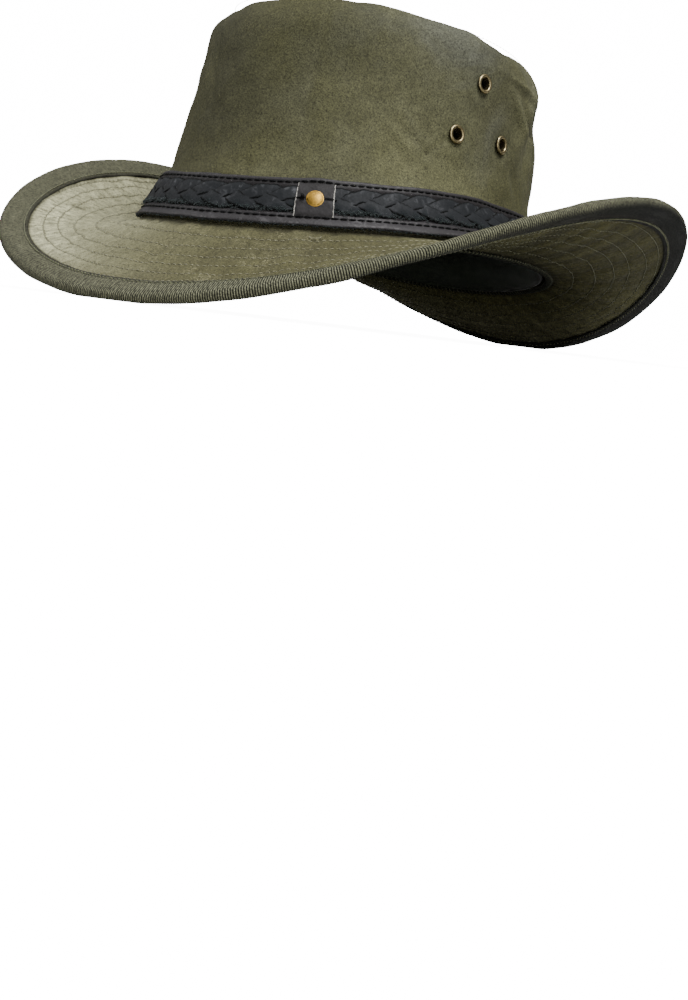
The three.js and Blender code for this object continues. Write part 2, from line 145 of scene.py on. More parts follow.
def splinePiece(before, start, end, after, share):
    # One span of a centripetal Catmull-Rom curve: a cubic from start to end.
    step = [np.sqrt(np.linalg.norm(b - a, axis=-1, keepdims=True)) for a, b in
            ((before, start), (start, end), (end, after))]
    leave = (start - before) / step[0] - (end - before) / (step[0] + step[1]) + (end - start) / step[1]
    arrive = (end - start) / step[1] - (after - start) / (step[1] + step[2]) + (after - end) / step[2]
    leave, arrive, t = leave * step[1], arrive * step[1], share[..., None]
    return (start + leave * t + (3 * (end - start) - 2 * leave - arrive) * t**2
            + (2 * (start - end) + leave + arrive) * t**3)


def curve(start, middle, end, t):
    # A quadratic curve: it leaves start towards middle and reaches end from there.
    return start * (1 - t) ** 2 + middle * 2 * t * (1 - t) + end * t**2


def wallPoint(angle, share):
    # The crown's wall: a curve through the seam, the waist and the shoulder.
    seam, waist, shoulder = (ring(name, angle) for name in crownLevels)
    lower = splinePiece(2 * seam - waist, seam, waist, shoulder, np.clip(share * 2, 0, 1))
    upper = splinePiece(seam, waist, shoulder, 2 * shoulder - waist, np.clip(share * 2 - 1, 0, 1))
    return np.where((share < 0.5)[..., None], lower, upper)


def topPoint(angle, share):
    # The top inside the crest: level at the crest, dished, with a lengthwise crease.
    s, c = crownLevels["shoulder"], crownShape
    x = (s["halfWidth"] - c["shoulderInset"]) * share * np.sin(angle)
    y = s["centreY"] - (s["halfLength"] - c["shoulderInset"]) * share * np.cos(angle)
    rim = s["height"] + s["frontLift"] * share * np.cos(angle) + s["endLift"] * share**2 * np.cos(2 * angle)
    inside = 1 - share**2
    crease = c["creaseDepth"] * bump(x, c["creaseHalfWidth"]) * np.minimum(1, inside / c["creaseFade"])
    return stack(x, y, rim - c["dishDepth"] * inside**1.5 - crease)


def crownBase(angle, along):
    # 0 to 1 is the wall, 1 to 2 the rounded shoulder, 2 to 3 the top from crest to centre.
    angle, along = np.broadcast_arrays(angle, along)
    start = crownShape["shoulderStart"]
    wall = wallPoint(angle, np.clip(along, 0, 1) * start)
    foot = wallPoint(angle, np.full_like(along, start))
    slope = foot - wallPoint(angle, np.full_like(along, start - 1e-4))
    crest = topPoint(angle, np.ones_like(along))
    corner = foot + slope * ((crest[..., 2] - foot[..., 2]) / slope[..., 2])[..., None]
    shoulder = curve(foot, corner, crest, np.clip(along - 1, 0, 1)[..., None])
    top = topPoint(angle, np.clip(3 - along, 0, 1))
    return np.where((along <= 1)[..., None], wall, np.where((along < 2)[..., None], shoulder, top))


def wayOut(surface, angle, along, step=0.01):
    # The way out of a surface: square to a small step round it and a small step up it.
    sideways = surface(angle + step, along) - surface(angle - step, along)
    upwards = surface(angle, along + step) - surface(angle, along - step)
    return unit(np.cross(sideways, upwards))


def crownNormal(angle, along):
    return wayOut(crownBase, *np.broadcast_arrays(angle, np.clip(along, 0.02, 2.98)))


def crownPoint(angle, along, depth=0.0):
    base = crownBase(angle, along)
    push = patches(crownFolds.values(), angle, base[..., 2]) - depth
    return base + crownNormal(angle, along) * push[..., None]


def wallShare(angle, distance):
    # The place on the wall at a distance up from the seam, along its curve.
    angle, distance = np.broadcast_arrays(angle, np.asarray(distance, float))
    rows = angle.reshape(angle.shape[0], -1)[:, :1]
    knots = np.linspace(0, 1, 90)
    reach = lengths(wallPoint(*np.broadcast_arrays(rows, knots[None])))
    share = rowInterp(distance.reshape(len(rows), -1), reach, knots)
    return (share / crownShape["shoulderStart"]).reshape(distance.shape)


def edgePoint(angle):
    # The brim's rolled edge: sums of sines and cosines of the angle and its multiples.
    s = brimShape
    x = sum(size * np.sin((i + 1) * angle) for i, size in enumerate(s["halfWidth"]))
    y = s["shift"] - sum(size * np.cos((i + 1) * angle) for i, size in enumerate(s["halfLength"]))
    return stack(x, y, sum(size * np.cos(i * angle) for i, size in enumerate(s["height"])))


def brimFrame(angle, fromSeam=None, fromEdge=None):
    # A point in the middle of the brim's cloth, the way out and the way up there, and the brim's width.
    # The section is a curve from seam to edge, bent by the curl, followed by its length.
    rows = np.asarray(angle, float).reshape(len(angle), -1)[:, :1]
    flat = rows[:, 0]
    seam, edge = ring("seam", flat), edgePoint(flat)
    chord = edge - seam
    length = np.linalg.norm(chord, axis=-1)
    level = unit(chord * [1, 1, 0])
    lift = unit(stack(-level[:, 0] * chord[:, 2], -level[:, 1] * chord[:, 2], (chord * level).sum(-1)))
    bend = np.radians(sum(size * np.cos(k * flat) for k, size in zip((0, 1, 2, 4), brimShape["curl"])))
    middle = seam + chord / 2 - lift * (length / 2 * np.tan(bend / 2))[:, None]
    seam, middle, edge = seam[:, None], middle[:, None], edge[:, None]
    knots = np.linspace(0, 1, 64)
    path = lengths(curve(seam, middle, edge, knots[None, :, None]))
    total = path[:, -1:]
    distance = np.asarray(fromSeam, float) if fromSeam is not None else total - np.asarray(fromEdge, float)
    distance = np.broadcast_to(distance, np.broadcast_shapes(distance.shape, (len(rows), 1)))
    inside = np.clip(distance, 0, total)
    t = rowInterp(inside, path, knots)[..., None]
    out = unit((middle - seam) * (1 - t) + (edge - middle) * t)
    point = curve(seam, middle, edge, t) + out * (distance - inside)[..., None]
    along = unit(edgePoint(flat + 0.01) - edgePoint(flat - 0.01))[:, None]
    return point, out, unit(np.cross(out, along)), total


# Meshes from grids of points.
def buildMesh(name, points, faces, uv=None, marks=None):
    # faces is one array per face size; uv holds a pair for every face corner in the same order.
    mesh = bpy.data.meshes.new(name)
    sizes = np.concatenate([np.full(len(part), part.shape[1]) for part in faces])
    corners = np.concatenate([part.ravel() for part in faces])
    mesh.vertices.add(len(points))
    mesh.vertices.foreach_set("co", (points * 0.001).astype(np.float32).ravel())
    mesh.loops.add(len(corners))
    mesh.loops.foreach_set("vertex_index", corners.astype(np.int32))
    mesh.polygons.add(len(sizes))
    mesh.polygons.foreach_set("loop_start", np.concatenate([[0], np.cumsum(sizes)[:-1]]).astype(np.int32))
    if uv is not None:
        mesh.uv_layers.new(name="surface").data.foreach_set("uv", uv.astype(np.float32).ravel())
    for key, value in (marks or {}).items():
        mark = mesh.attributes.new(key, "FLOAT", "POINT")
        mark.data.foreach_set("value", np.asarray(value, np.float32).ravel())
    mesh.update(calc_edges=True)
    mesh.polygons.foreach_set("use_smooth", np.ones(len(mesh.polygons), bool))
    piece = bpy.data.objects.new(name, mesh)
    bpy.context.scene.collection.objects.link(piece)
    return piece


def gridSurface(name, grid, u, v, closedRound=True, closedAcross=True, marks=None):
    # Rows go round, columns along the section; u and v are millimetres along them, or one even step.
    rows, columns = grid.shape[:2]
    i, j = np.indices((rows - (not closedRound), columns - (not closedAcross))).reshape(2, -1)
    u, v = (np.arange(count + 1) * at if np.isscalar(at) else at for at, count in ((u, rows), (v, columns)))
    u, v = np.broadcast_arrays(np.reshape(u, (len(u), -1)), v)
    ends = ((i, j), (i + 1, j), (i + 1, j + 1), (i, j + 1))
    faces = stack(*((a % rows) * columns + b % columns for a, b in ends))
    uv = np.stack([stack(u[a, b], v[a, b]) for a, b in ends], axis=1).reshape(-1, 2)
    marks = {key: np.broadcast_to(value, grid.shape[:2]) for key, value in (marks or {}).items()}
    return buildMesh(name, grid.reshape(-1, 3), [faces], uv, marks)


def tippedSurface(name, grid, tips, marks):
    # A grid closed round, and at its first and last column by a fan to a tip. Its uv is x and y.
    rows, width = grid.shape[:2]
    i, j = np.indices((rows, width - 1)).reshape(2, -1)
    here, beside = i * width + j, (i + 1) % rows * width + j
    quads = stack(here, beside, beside + 1, here + 1)
    first = np.arange(rows) * width
    after, last, tip = np.roll(first, -1), width - 1, rows * width
    fans = np.concatenate([stack(after, first, tip), stack(first + last, after + last, tip + 1)])
    points = np.concatenate([grid.reshape(-1, 3), tips])
    uv = points[np.concatenate([quads.ravel(), fans.ravel()]), :2]
    return buildMesh(name, points, [quads, fans], uv, marks)


def closeRings(piece, *rings):
    # Closes an open piece with one face across each ring of its points.
    shape = bmesh.new()
    shape.from_mesh(piece.data)
    shape.verts.ensure_lookup_table()
    for ringPoints in rings:
        shape.faces.new([shape.verts[k] for k in ringPoints])
    shape.to_mesh(piece.data)
    shape.free()


def tubeEnds(rows, columns):  # the first and the last ring of a tube's points
    return range(columns), range(rows * columns - 1, (rows - 1) * columns - 1, -1)


def evenAngles(count, path):
    # Angles whose points on a closed path lie evenly spaced, and the length round it.
    fine = np.linspace(0, turn, 4001)
    length = lengths(path(fine))
    return np.interp(np.linspace(0, length[-1], count, endpoint=False), length, fine), length[-1]


def stitchAngles(path, pitch, fine=1200, shift=0.0):
    # Where the stitches of a row start: evenly along a closed path, shifted by a share of a stitch.
    angles, length = evenAngles(fine, path)
    count = int(length / pitch)
    place = (np.arange(count) + shift) / count % 1 * fine
    return np.interp(place, np.arange(fine + 1), np.append(angles, turn))


def sew(name, runs, radius, rise, slot, look):
    # Lays stitches on the hat: each is a short five-sided tube that rises in an arch from start to end.
    start, end, out = (np.concatenate(part)[:, None] for part in zip(*runs))
    arch = [(0, -0.6, 0.6), (0.28, 0.8, 1), (0.72, 0.8, 1), (1, -0.6, 0.6)]
    share, lift, girth = np.array(arch).T[..., None]
    centre = start + (end - start) * share + out * lift * rise
    angle = np.arange(5)[:, None] / 5 * turn
    rim = unit(np.cross(unit(end - start), out)) * np.cos(angle) + out * np.sin(angle)
    points = centre[:, :, None] + rim[:, None] * girth[:, None] * radius
    a, b = np.indices((3, 5)).reshape(2, -1)
    here, beside = a * 5 + b, a * 5 + (b + 1) % 5
    wall = np.concatenate([stack(here, beside, beside + 5), stack(here, beside + 5, here + 5)])
    caps = np.array([[0, 2, 1], [0, 3, 2], [0, 4, 3], [15, 16, 17], [15, 17, 18], [15, 18, 19]])
    one = np.concatenate([wall, caps])[:, ::-1]
    faces = (one + np.arange(len(start))[:, None, None] * 20).reshape(-1, 3)
    lay(buildMesh(name, points.reshape(-1, 3), [faces]), [], slot, look)


def turnedGrid(profile, centre, axis, count):
    # A profile of radius and height, turned about an axis that stands on a centre.
    side = unit(np.cross(axis, [0, 0, 1.0]))
    angle = np.arange(count)[:, None] / count * turn
    around = side * np.cos(angle) + np.cross(axis, side) * np.sin(angle)
    return centre + around[:, None] * profile[None, :, :1] + axis * profile[None, :, 1:]


def smoothProfile(points, count):
    # A soft line through a short table of points: each corner is rounded by averaging.
    points = np.asarray(points, float)
    reach = lengths(points)
    at = np.linspace(0, reach[-1], count * 8)
    line = stack(*(np.interp(at, reach, column) for column in points.T))
    blur = np.hanning(19) / np.hanning(19).sum()
    padded = np.concatenate([np.repeat(line[:1], 9, 0), line, np.repeat(line[-1:], 9, 0)])
    line = stack(*(np.convolve(column, blur, "valid") for column in padded.T))
    return line[np.linspace(0, len(line) - 1, count).astype(int)]


def lay(piece, nodes, slot, *names):
    # Puts a finished piece on the hat: its looks, what it stands for and what it moves with.
    for look in names:
        piece.data.materials.append(looks[look])
    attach(piece, "root")
    if nodes:
        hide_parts(*nodes)


# Finishes.
class Value:
    # The output of a node, to reckon with: each sign adds a math node.
    def __init__(self, socket):
        self.socket = socket
        self.tree = socket.id_data

    def math(self, operation, other=0.5, clamp=False):
        return addNode(self.tree, "ShaderNodeMath", 0, {0: self, 1: other},
                       operation=operation, use_clamp=clamp)

    def __add__(self, other):
        return self.math("ADD", other)

    def __sub__(self, other):
        return self.math("SUBTRACT", other)

    def __rsub__(self, other):
        return self * -1.0 + other

    def __mul__(self, other):
        return self.math("MULTIPLY", other)

    def __truediv__(self, other):
        return self.math("DIVIDE", other)


def join(value, socket):
    # Links a value to an input, or sets the input to a number, a vector or a colour.
    if isinstance(value, Value):
        value.tree.links.new(value.socket, socket)
    else:
        socket.default_value = (*value, 1) if socket.type == "RGBA" else value


def addNode(tree, kind, output=0, inputs=(), **settings):
    item = tree.nodes.new(kind)
    for key, value in settings.items():
        setattr(item, key, value)
    for key, value in dict(inputs).items():
        join(value, item.inputs[key])
    return Value(item.outputs[output])


def noise(where, scale, detail=3.0, rough=0.55, twist=0.0):
    return addNode(where.tree, "ShaderNodeTexNoise", "Fac", {
        "Vector": where, "Scale": scale, "Detail": detail, "Roughness": rough, "Distortion": twist})


def between(value, low, high):  # 0 below low, 1 above high, smooth between
    return addNode(value.tree, "ShaderNodeMapRange", 0, {"Value": value, "From Min": low, "From Max": high},
                   interpolation_type="SMOOTHSTEP")


def scaled(where, size):
    return addNode(where.tree, "ShaderNodeVectorMath", 0, {0: where, 1: size}, operation="MULTIPLY")


def dimmed(colour, size):
    return addNode(colour.tree, "ShaderNodeVectorMath", 0, {0: colour, "Scale": size}, operation="SCALE")


def blend(share, first, second):
    return addNode(share.tree, "ShaderNodeMix", 2, {0: share, 6: first, 7: second}, data_type="RGBA")


def relief(height, distance, strength, under=None):
    inputs = {"Height": height, "Distance": distance, "Strength": strength}
    if under:
        inputs["Normal"] = under
    return addNode(height.tree, "ShaderNodeBump", "Normal", inputs)


def ramp(value, colours):
    # A colour that runs through evenly spaced colours as the value goes from 0 to 1.
    item = value.tree.nodes.new("ShaderNodeValToRGB")
    join(value, item.inputs["Fac"])
    bands = item.color_ramp.elements
    while len(bands) < len(colours):
        bands.new(0.5)
    for k, colour in enumerate(colours):
        bands[k].position, bands[k].color = k / (len(colours) - 1), (*colour, 1)
    return Value(item.outputs["Color"])


def splitUp(vector):
    parts = addNode(vector.tree, "ShaderNodeSeparateXYZ", "X", {0: vector})
    return parts, Value(parts.socket.node.outputs["Y"])


def effect(name, outputs, inputs):
    # An empty shared group: what comes into it, and the sockets for what it gives.
    tree = bpy.data.node_groups.new(name, "ShaderNodeTree")
    for key, kind in inputs.items():
        tree.interface.new_socket(key, in_out="INPUT", socket_type=kind)
    for key in outputs:
        tree.interface.new_socket(key, in_out="OUTPUT", socket_type="NodeSocketFloat")
    given, result = tree.nodes.new("NodeGroupInput"), tree.nodes.new("NodeGroupOutput")
    return [Value(given.outputs[key]) for key in inputs], result.inputs


def use(tree, group, **inputs):
    item = tree.nodes.new("ShaderNodeGroup")
    item.node_tree = group
    for key, value in inputs.items():
        join(value, item.inputs[key])
    return {socket.name: Value(socket) for socket in item.outputs}


def makeWaxEffects():
    # Mottle: soft patches. Ash: broad greyer ones. Grain: the weave. Cracks: lines where the wax has broken.
    # Puckers: small crinkles. Rows: the dented line of each row, scalloped by its stitches.
    (place, surface, row), result = effect(
        "waxed cotton effects", ("Mottle", "Ash", "Grain", "Cracks", "Puckers", "Rows"),
        {"Object": "NodeSocketVector", "Surface": "NodeSocketVector", "Row": "NodeSocketFloat"})
    join(noise(place, 24, 4, 0.6, 0.4) * 0.75 + noise(place, 190, 3, 0.6) * 0.35, result["Mottle"])
    join(between(noise(place, 16, 5, 0.62, 0.5), 0.42, 0.66), result["Ash"])
    join(noise(place, 1550, 2, 0.7) * 0.75 + noise(place, 700, 2, 0.6) * 0.25, result["Grain"])
    cracks = []
    for scale, width, seldom in ((90, 0.014, 0.46), (210, 0.024, 0.42)):
        line = (noise(place, scale, 5, 0.6, 1.2) - 0.5).math("ABSOLUTE")
        patch = between(noise(place, scale * 0.6, 2), seldom, seldom + 0.16)
        cracks.append((1.0 - between(line, 0.0, width)) * patch)
    join(cracks[0].math("MAXIMUM", cracks[1]), result["Cracks"])
    join(noise(scaled(surface, (0.34, 0.2, 0)), 1.0, 3, 0.5, 0.6), result["Puckers"])
    stitchPitch = 3.0
    row = row + (splitUp(surface)[0] * (turn / stitchPitch)).math("SINE") * 0.022
    away = (row - row.math("ROUND")).math("ABSOLUTE")
    join(1.0 - between(away, 0.02, 0.075), result["Rows"])
    return row.tree


def makeRibEffects():
    # Ribs: rounded cords across a tape, one every pitch along it. Knots: weft dots between them, every other
    # one set off by half. Fuzz: fibres that blur them.
    (place, surface, pitch), result = effect(
        "ribbed tape effects", ("Ribs", "Knots", "Fuzz"),
        {"Object": "NodeSocketVector", "Surface": "NodeSocketVector", "Pitch": "NodeSocketFloat"})
    along, across = splitUp(surface)
    passed = along / pitch
    join((passed * turn).math("COSINE") * 0.5 + 0.5, result["Ribs"])
    join(((across * (1 / 1.5) + passed * 0.5) * turn).math("COSINE"), result["Knots"])
    join(noise(place, 1250, 2, 0.7) * 0.7 + noise(place, 500, 2, 0.6) * 0.3, result["Fuzz"])
    return place.tree


def makeLeatherEffects():
    # Grain: pebbled cells. Scuff: broken grey rubs.
    (place,), result = effect("leather effects", ("Grain", "Scuff"), {"Object": "NodeSocketVector"})
    cells = addNode(place.tree, "ShaderNodeTexVoronoi", "Distance", {"Vector": place, "Scale": 1100})
    join(cells * 0.6 + noise(place, 120, 4, 0.6) * 0.8, result["Grain"])
    rub = between(noise(place, 210, 5, 0.7, 0.6), 0.5, 0.68)
    join(rub * between(noise(place, 50, 2), 0.4, 0.62), result["Scuff"])
    return place.tree


waxEffects, ribEffects, leatherEffects = makeWaxEffects(), makeRibEffects(), makeLeatherEffects()


def newLook(name, roughness, sheen=0.0, sheenTint=(1, 1, 1), gloss=0.5, metal=0.0):
    # A new material: itself, its shader's inputs, its object and surface places, and its marks by name.
    look = bpy.data.materials.new(name)
    look.use_nodes = True
    skin = look.node_tree.nodes["Principled BSDF"].inputs
    for key, value in (("Roughness", roughness), ("Sheen Weight", sheen), ("Sheen Tint", sheenTint),
                       ("Specular IOR Level", gloss), ("Metallic", metal)):
        join(value, skin[key])
    coords = look.node_tree.nodes.new("ShaderNodeTexCoord").outputs

    def mark(key):
        return addNode(look.node_tree, "ShaderNodeAttribute", "Fac", attribute_name=key)

    return look, skin, Value(coords["Object"]), Value(coords["UV"]), mark


def waxedCotton(name, tones, crack, patchy=1.0, grainy=3.6, pucker=0.0, gloss=0.15):
    # The tone mark says where the cloth is lighter, with painted light and shade in places; the wear and
    # highlight mark where it is pale from wear and painted sheen, ash where it is greyer, crack where the wax
    # has broken and shade where painted shade lies in a groove.
    look, skin, place, surface, mark = newLook(name, 0.6, 0.03, (0.95, 0.93, 0.72), gloss)
    worn, shade = mark("worn"), mark("shade")
    wax = use(place.tree, waxEffects, Object=place, Surface=surface, Row=mark("row"))
    tone = wax["Mottle"] * patchy - 0.53 * patchy + mark("tone")
    grey = [tuple(sum(tint) / 2.45 * part for part in (1.0, 1.03, 0.78)) for tint in tones]
    colour = blend((wax["Ash"] * 0.7 + 0.3) * mark("ash"), ramp(tone, tones), ramp(tone, grey))
    colour = blend((tone * 0.5 + 0.75) * worn, colour, (0.44, 0.432, 0.275))
    colour = blend(wax["Cracks"] * mark("crack"), colour, crack)
    weave = wax["Grain"] * grainy + (1 - 0.5 * grainy)
    rough = relief(wax["Grain"], 0.0002, 0.6, relief(wax["Mottle"], 0.0006, 0.6))
    # Painted shade along the stitch rows, and painted light and shade where the puckers crinkle the cloth.
    if pucker:
        shade = shade.math("MAXIMUM", wax["Rows"] * (worn * 0.42 + 0.25))
        weave = weave + (wax["Puckers"] - 0.5) * (worn * 1.6 + 0.4)
        rough = relief(wax["Puckers"], pucker, 1.0, rough)
    colour = blend(shade, colour, (0.014, 0.013, 0.008))
    join(dimmed(colour, weave), skin["Base Color"])
    join(wax["Mottle"] * 0.3 + 0.5, skin["Roughness"])
    join(relief(wax["Cracks"], 0.00012, 0.6, rough), skin["Normal"])
    return look


def ribbedTape(name, dark, light, pitch):
    # The ribbed mark says how plainly the cords show; the dark between the cords is painted shade.
    look, skin, place, surface, mark = newLook(name, 0.8, 0.03, (0.9, 0.92, 0.86), 0.2)
    tape = use(place.tree, ribEffects, Object=place, Surface=surface, Pitch=pitch)
    cords = (tape["Knots"] * 0.16 + tape["Ribs"] - 0.5) * mark("ribbed")
    colour = blend(cords + noise(place, 60, 3) * 0.16 + 0.32, dark, light)
    colour = blend(mark("shade"), colour, (0.008, 0.008, 0.006))
    join(dimmed(colour, tape["Fuzz"] * 4.2 - 1.1), skin["Base Color"])
    join(relief(tape["Fuzz"], 0.0002, 0.6, relief(tape["Ribs"], 0.00022, 0.7)), skin["Normal"])
    return look


def leather(name, dark, light, scuff, roughness, gloss):
    # The rough mark says where the flesh side shows, dull and furry; the wear and highlight mark where the
    # hide is rubbed raw, and on the strap's lip a painted highlight;
    # and shade where painted shade darkens an edge or a groove to black.
    look, skin, place, surface, mark = newLook(name, roughness, 0.02, gloss=gloss)
    hide, rough = use(place.tree, leatherEffects, Object=place), mark("rough")
    colour = blend(noise(place, 90, 3), dark, light)
    specks = between(noise(place, 480, 3, 0.7), 0.4, 0.6)
    scuffs = (hide["Scuff"] * 0.5).math("MAXIMUM", specks * mark("worn"))
    colour = blend(scuffs * (1.0 - rough), colour, scuff)
    nap = between(noise(place, 900, 3, 0.7), 0.35, 0.75) * rough
    colour = blend(nap, colour, (0.010, 0.019, 0.019))
    join(blend(mark("shade"), colour, (0.0012, 0.0013, 0.0014)), skin["Base Color"])
    shine = hide["Grain"] * 0.2 + (roughness - 0.1)
    join((rough * 0.45).math("ADD", shine, clamp=True), skin["Roughness"])
    join(relief(nap, 0.0005, 0.8, relief(hide["Grain"], 0.00016, 0.7)), skin["Normal"])
    return look


def thread(name, colour, shadow, sheen=0.2, gloss=0.5):
    look, skin, place, surface, mark = newLook(name, 0.7, sheen, gloss=gloss)
    fibres = noise(place, 1500, 2)
    join(blend(between(fibres, 0.3, 0.7), shadow, colour), skin["Base Color"])
    join(relief(fibres, 0.0001, 0.5), skin["Normal"])
    return look


def satin(name, dark, light):
    look, skin, place, surface, mark = newLook(name, 0.5, 0.15)
    join(blend(noise(scaled(place, (1, 1, 5)), 130, 3), dark, light), skin["Base Color"])
    join(relief(noise(place, 1400, 2), 0.0001, 0.5), skin["Normal"])
    return look


def brass(name, bright, tarnished, low, high, roughness):
    # Tarnish lies in patches, and the rubbed mark keeps the edges bright.
    look, skin, place, surface, mark = newLook(name, roughness, metal=1.0)
    patch = between(noise(place, 420, 5, 0.65), low, high).math("SUBTRACT", mark("rubbed"), clamp=True)
    join(blend(patch, bright, tarnished), skin["Base Color"])
    join(patch * 0.3 + roughness, skin["Roughness"])
    join(relief(noise(place, 800, 4), 0.00012, 0.4), skin["Normal"])
    return look


tapeRib = {"binding": 1.12, "opening": 2.4}
looks = {
    # dark, middle and light tone, then the cracks
    "crown": waxedCotton(
        "crown waxed cotton", ((0.036, 0.0368, 0.0165), (0.067, 0.0665, 0.0290), (0.126, 0.125, 0.058)),
        (0.16, 0.15, 0.08)),
    "brimTop": waxedCotton(
        "brim top waxed cotton", ((0.044, 0.040, 0.0135), (0.078, 0.073, 0.0255), (0.135, 0.128, 0.052)),
        (0.26, 0.245, 0.14), patchy=0.8, grainy=3.2, pucker=0.0012),
    # The brim's own cloth made darker underneath: painted shade.
    "brimUnderShaded": waxedCotton(
        "brim underside waxed cotton with painted shade",
        ((0.0265, 0.025, 0.0065), (0.055, 0.052, 0.0145), (0.109, 0.104, 0.034)),
        (0.12, 0.11, 0.05), patchy=0.9, grainy=3.0, pucker=0.0010, gloss=0.05),
    # dark, light
    "binding": ribbedTape(
        "ribbed binding tape", (0.006, 0.006, 0.003), (0.205, 0.207, 0.130), tapeRib["binding"]),
    "openingTape": ribbedTape(
        "ribbed opening tape", (0.008, 0.009, 0.005), (0.10, 0.105, 0.060), tapeRib["opening"]),
    "sweatband": satin("sweatband satin", (0.012, 0.016, 0.009), (0.036, 0.045, 0.026)),
    # dark, light, scuffs
    "keeper": leather(
        "keeper leather", (0.016, 0.0145, 0.015), (0.027, 0.025, 0.026), (0.04, 0.038, 0.04), 0.6, 0.25),
    "strap": leather(
        "black strap leather",
        (0.0175, 0.0155, 0.0168), (0.033, 0.0300, 0.0320), (0.11, 0.105, 0.11), 0.5, 0.3),
    "plait": leather(
        "plaited leather",
        (0.0080, 0.0092, 0.0105), (0.0165, 0.0185, 0.0215), (0.085, 0.088, 0.095), 0.6, 0.2),
    # fibres, the dark between them
    "rawEdge": thread("raw leather edge", (0.50, 0.48, 0.44), (0.22, 0.21, 0.19)),
    "paleThread": thread("pale olive thread", (0.35, 0.34, 0.21), (0.16, 0.155, 0.09)),
    # The pale thread made darker for the underside and the binding: painted shade.
    "shadedThread": thread("olive thread with painted shade", (0.185, 0.195, 0.098), (0.065, 0.068, 0.032)),
    "blackThread": thread("black thread", (0.006, 0.006, 0.007), (0.002, 0.002, 0.0025), 0.02, 0.12),
    "fuzz": thread("leather fuzz", (0.016, 0.034, 0.034), (0.005, 0.012, 0.012)),
    # bright, tarnished
    "stud": brass("stud brass", (0.43, 0.262, 0.052), (0.25, 0.145, 0.032), 0.42, 0.72, 0.44),
    "eyelet": brass("aged eyelet brass", (0.47, 0.39, 0.21), (0.07, 0.054, 0.030), 0.30, 0.55, 0.34),
}
print("finishes made")


# The crown.
crownCloth = {
    "angles": 520, "outerRows": 132, "innerRows": 20, "topRows": 66, "underRows": 14,
    "footRise": 2.0, "thick": 1.8, "seamRidge": 0.5, "bandTop": 26.3,
    # the seam allowance under the top's edge: how far along the crown, and how much deeper than the cloth
    "allowance": (1.93, 1.93), "allowanceDepth": (0.45, 0.15),
    "stitchRows": ((1.86, 0.15), (2.05, 0.5)), "stitchPitch": 3.0,
}
eyeletShape = {"outer": 4.5, "hole": 2.8, "cut": 3.2, "seat": 0.6, "roll": 0.85, "barrel": 3.05}
eyeletPlaces = {"front": (71, 93.6), "top": (79, 119.2), "back": (91, 93.3)}
# Finer folds than the CAD's, in the same columns.
crownCreases = {
    "faint lines at the front": ((22, 112, 1.2, 40, 0.02, -0.5), (27, 84, 1.2, 14, -0.25, -0.4)),
    "faint line, right": ((-22, 110, 1.4, 18, 0.3, -0.4),),
    "wrinkles below the eyelets": ((58, 88, 1.5, 8, 0.9, -0.9), (54, 86, 1.3, 8, 0.9, 0.7),
                                   (56, 77, 1.0, 5, 0.54, -0.9), (53.6, 77, 1.0, 5, 0.54, 0.6),
                                   (66, 88, 1.3, 7, -0.7, -0.6)),
    "ridge behind the eyelets": ((101, 108, 2.0, 9, 0.62, 2.0), (106, 109, 2.6, 9, 0.62, -2.0),
                                 (96, 107, 3.0, 10, 0.5, -0.8)),
    "fold under the crest": ((103, 122, 4.0, 4.6, 2.4, 1.2), (103, 118.4, 4.6, 4.6, 2.4, -0.8)),
    "notch under the corner": ((118, 104, 7, 2.8, 0.2, -2.0),),
    "ridge above the band": ((96, 76, 1.6, 9, 0.3, 0.7), (101, 74, 2.2, 9, 0.3, -0.7)),
    "eased crest": ((-54, 146, 32, 10, 0, -2.6), (-8, 150, 34, 9, 0, -1.3), (41, 150, 12, 9, 0, 1.6),
                    (92, 142, 15, 11, 0, -2.0)),
}
# Tone patches. Those towards the wearer's left and on the corner are painted light, the one by the top eyelet
# painted shade.
crownTones = {
    "yellower low on the wall": (0, 62, wide, 24, 0, 0.16),
    "painted light towards the left": (61, 105, 26, 40, 0, 0.32),
    "painted light on the left side": (80, 0, 42, wide, 0, 0.06),
    "pale crest, left": (85, 146, 34, 11, 0, 0.22),
    "dark by the top eyelet": (88, 104, 13, 22, 0, -0.2),
    "painted sheen on the corner": (109, 115, 10, 22, 0, 0.6),
}


def eyeletSeat(side, angle, height):
    # The point at that height on the bare crown, by halving, and the way out of it.
    angle = np.radians(side * angle)
    low, high = 0.0, 1.0
    for _ in range(30):
        middle = (low + high) / 2
        low, high = (middle, high) if crownPoint(angle, middle)[2] < height else (low, middle)
    return crownPoint(angle, low), wayOut(crownPoint, angle, low)


eyeletSeats = {f"eyelet_{name}_{key}": eyeletSeat(side, *place)
               for side, name in ((1, "left"), (-1, "right")) for key, place in eyeletPlaces.items()}


def creasePush(angle, height):
    return patches([row for rows in crownCreases.values() for row in rows], angle, height)


def crownRelief(point, angle):
    # Soft undulation, fine rumples and creases, and a dimple round each eyelet.
    push = 0.45 * waves(point, 46, 3) + 0.17 * waves(point, 17, 5) + 0.045 * waves(point, 6.5, 7)
    push = push + creasePush(angle, point[..., 2])
    for seat, _ in eyeletSeats.values():
        away = np.linalg.norm(point - seat, axis=-1)
        push = push - 0.5 * bump(away, 5.0) + 0.35 * bump(away - 9, 3.0)
    return push


def crownMarks(point, angle):
    # Lighter and yellower low on the wall; painted light towards the wearer's left, painted sheen on its
    # corner and painted shade by the top eyelet; painted light on ridges and painted shade in creases; ashen
    # above.
    height = point[..., 2]
    tone = 0.43 + patches(crownTones.values(), angle, height) + 0.05 * waves(point, 60, 11)
    tone = tone + 0.06 * np.clip(creasePush(angle, height), -1.5, 1.5)
    ash = 0.2 + 0.8 * lobe(78, 44, angle) * (0.35 + 0.65 * np.clip((height - 70) / 35, 0, 1))
    return {"tone": tone, "ash": ash, "crack": np.clip(0.05 + 0.1 * waves(point, 50, 13), 0, 1)}


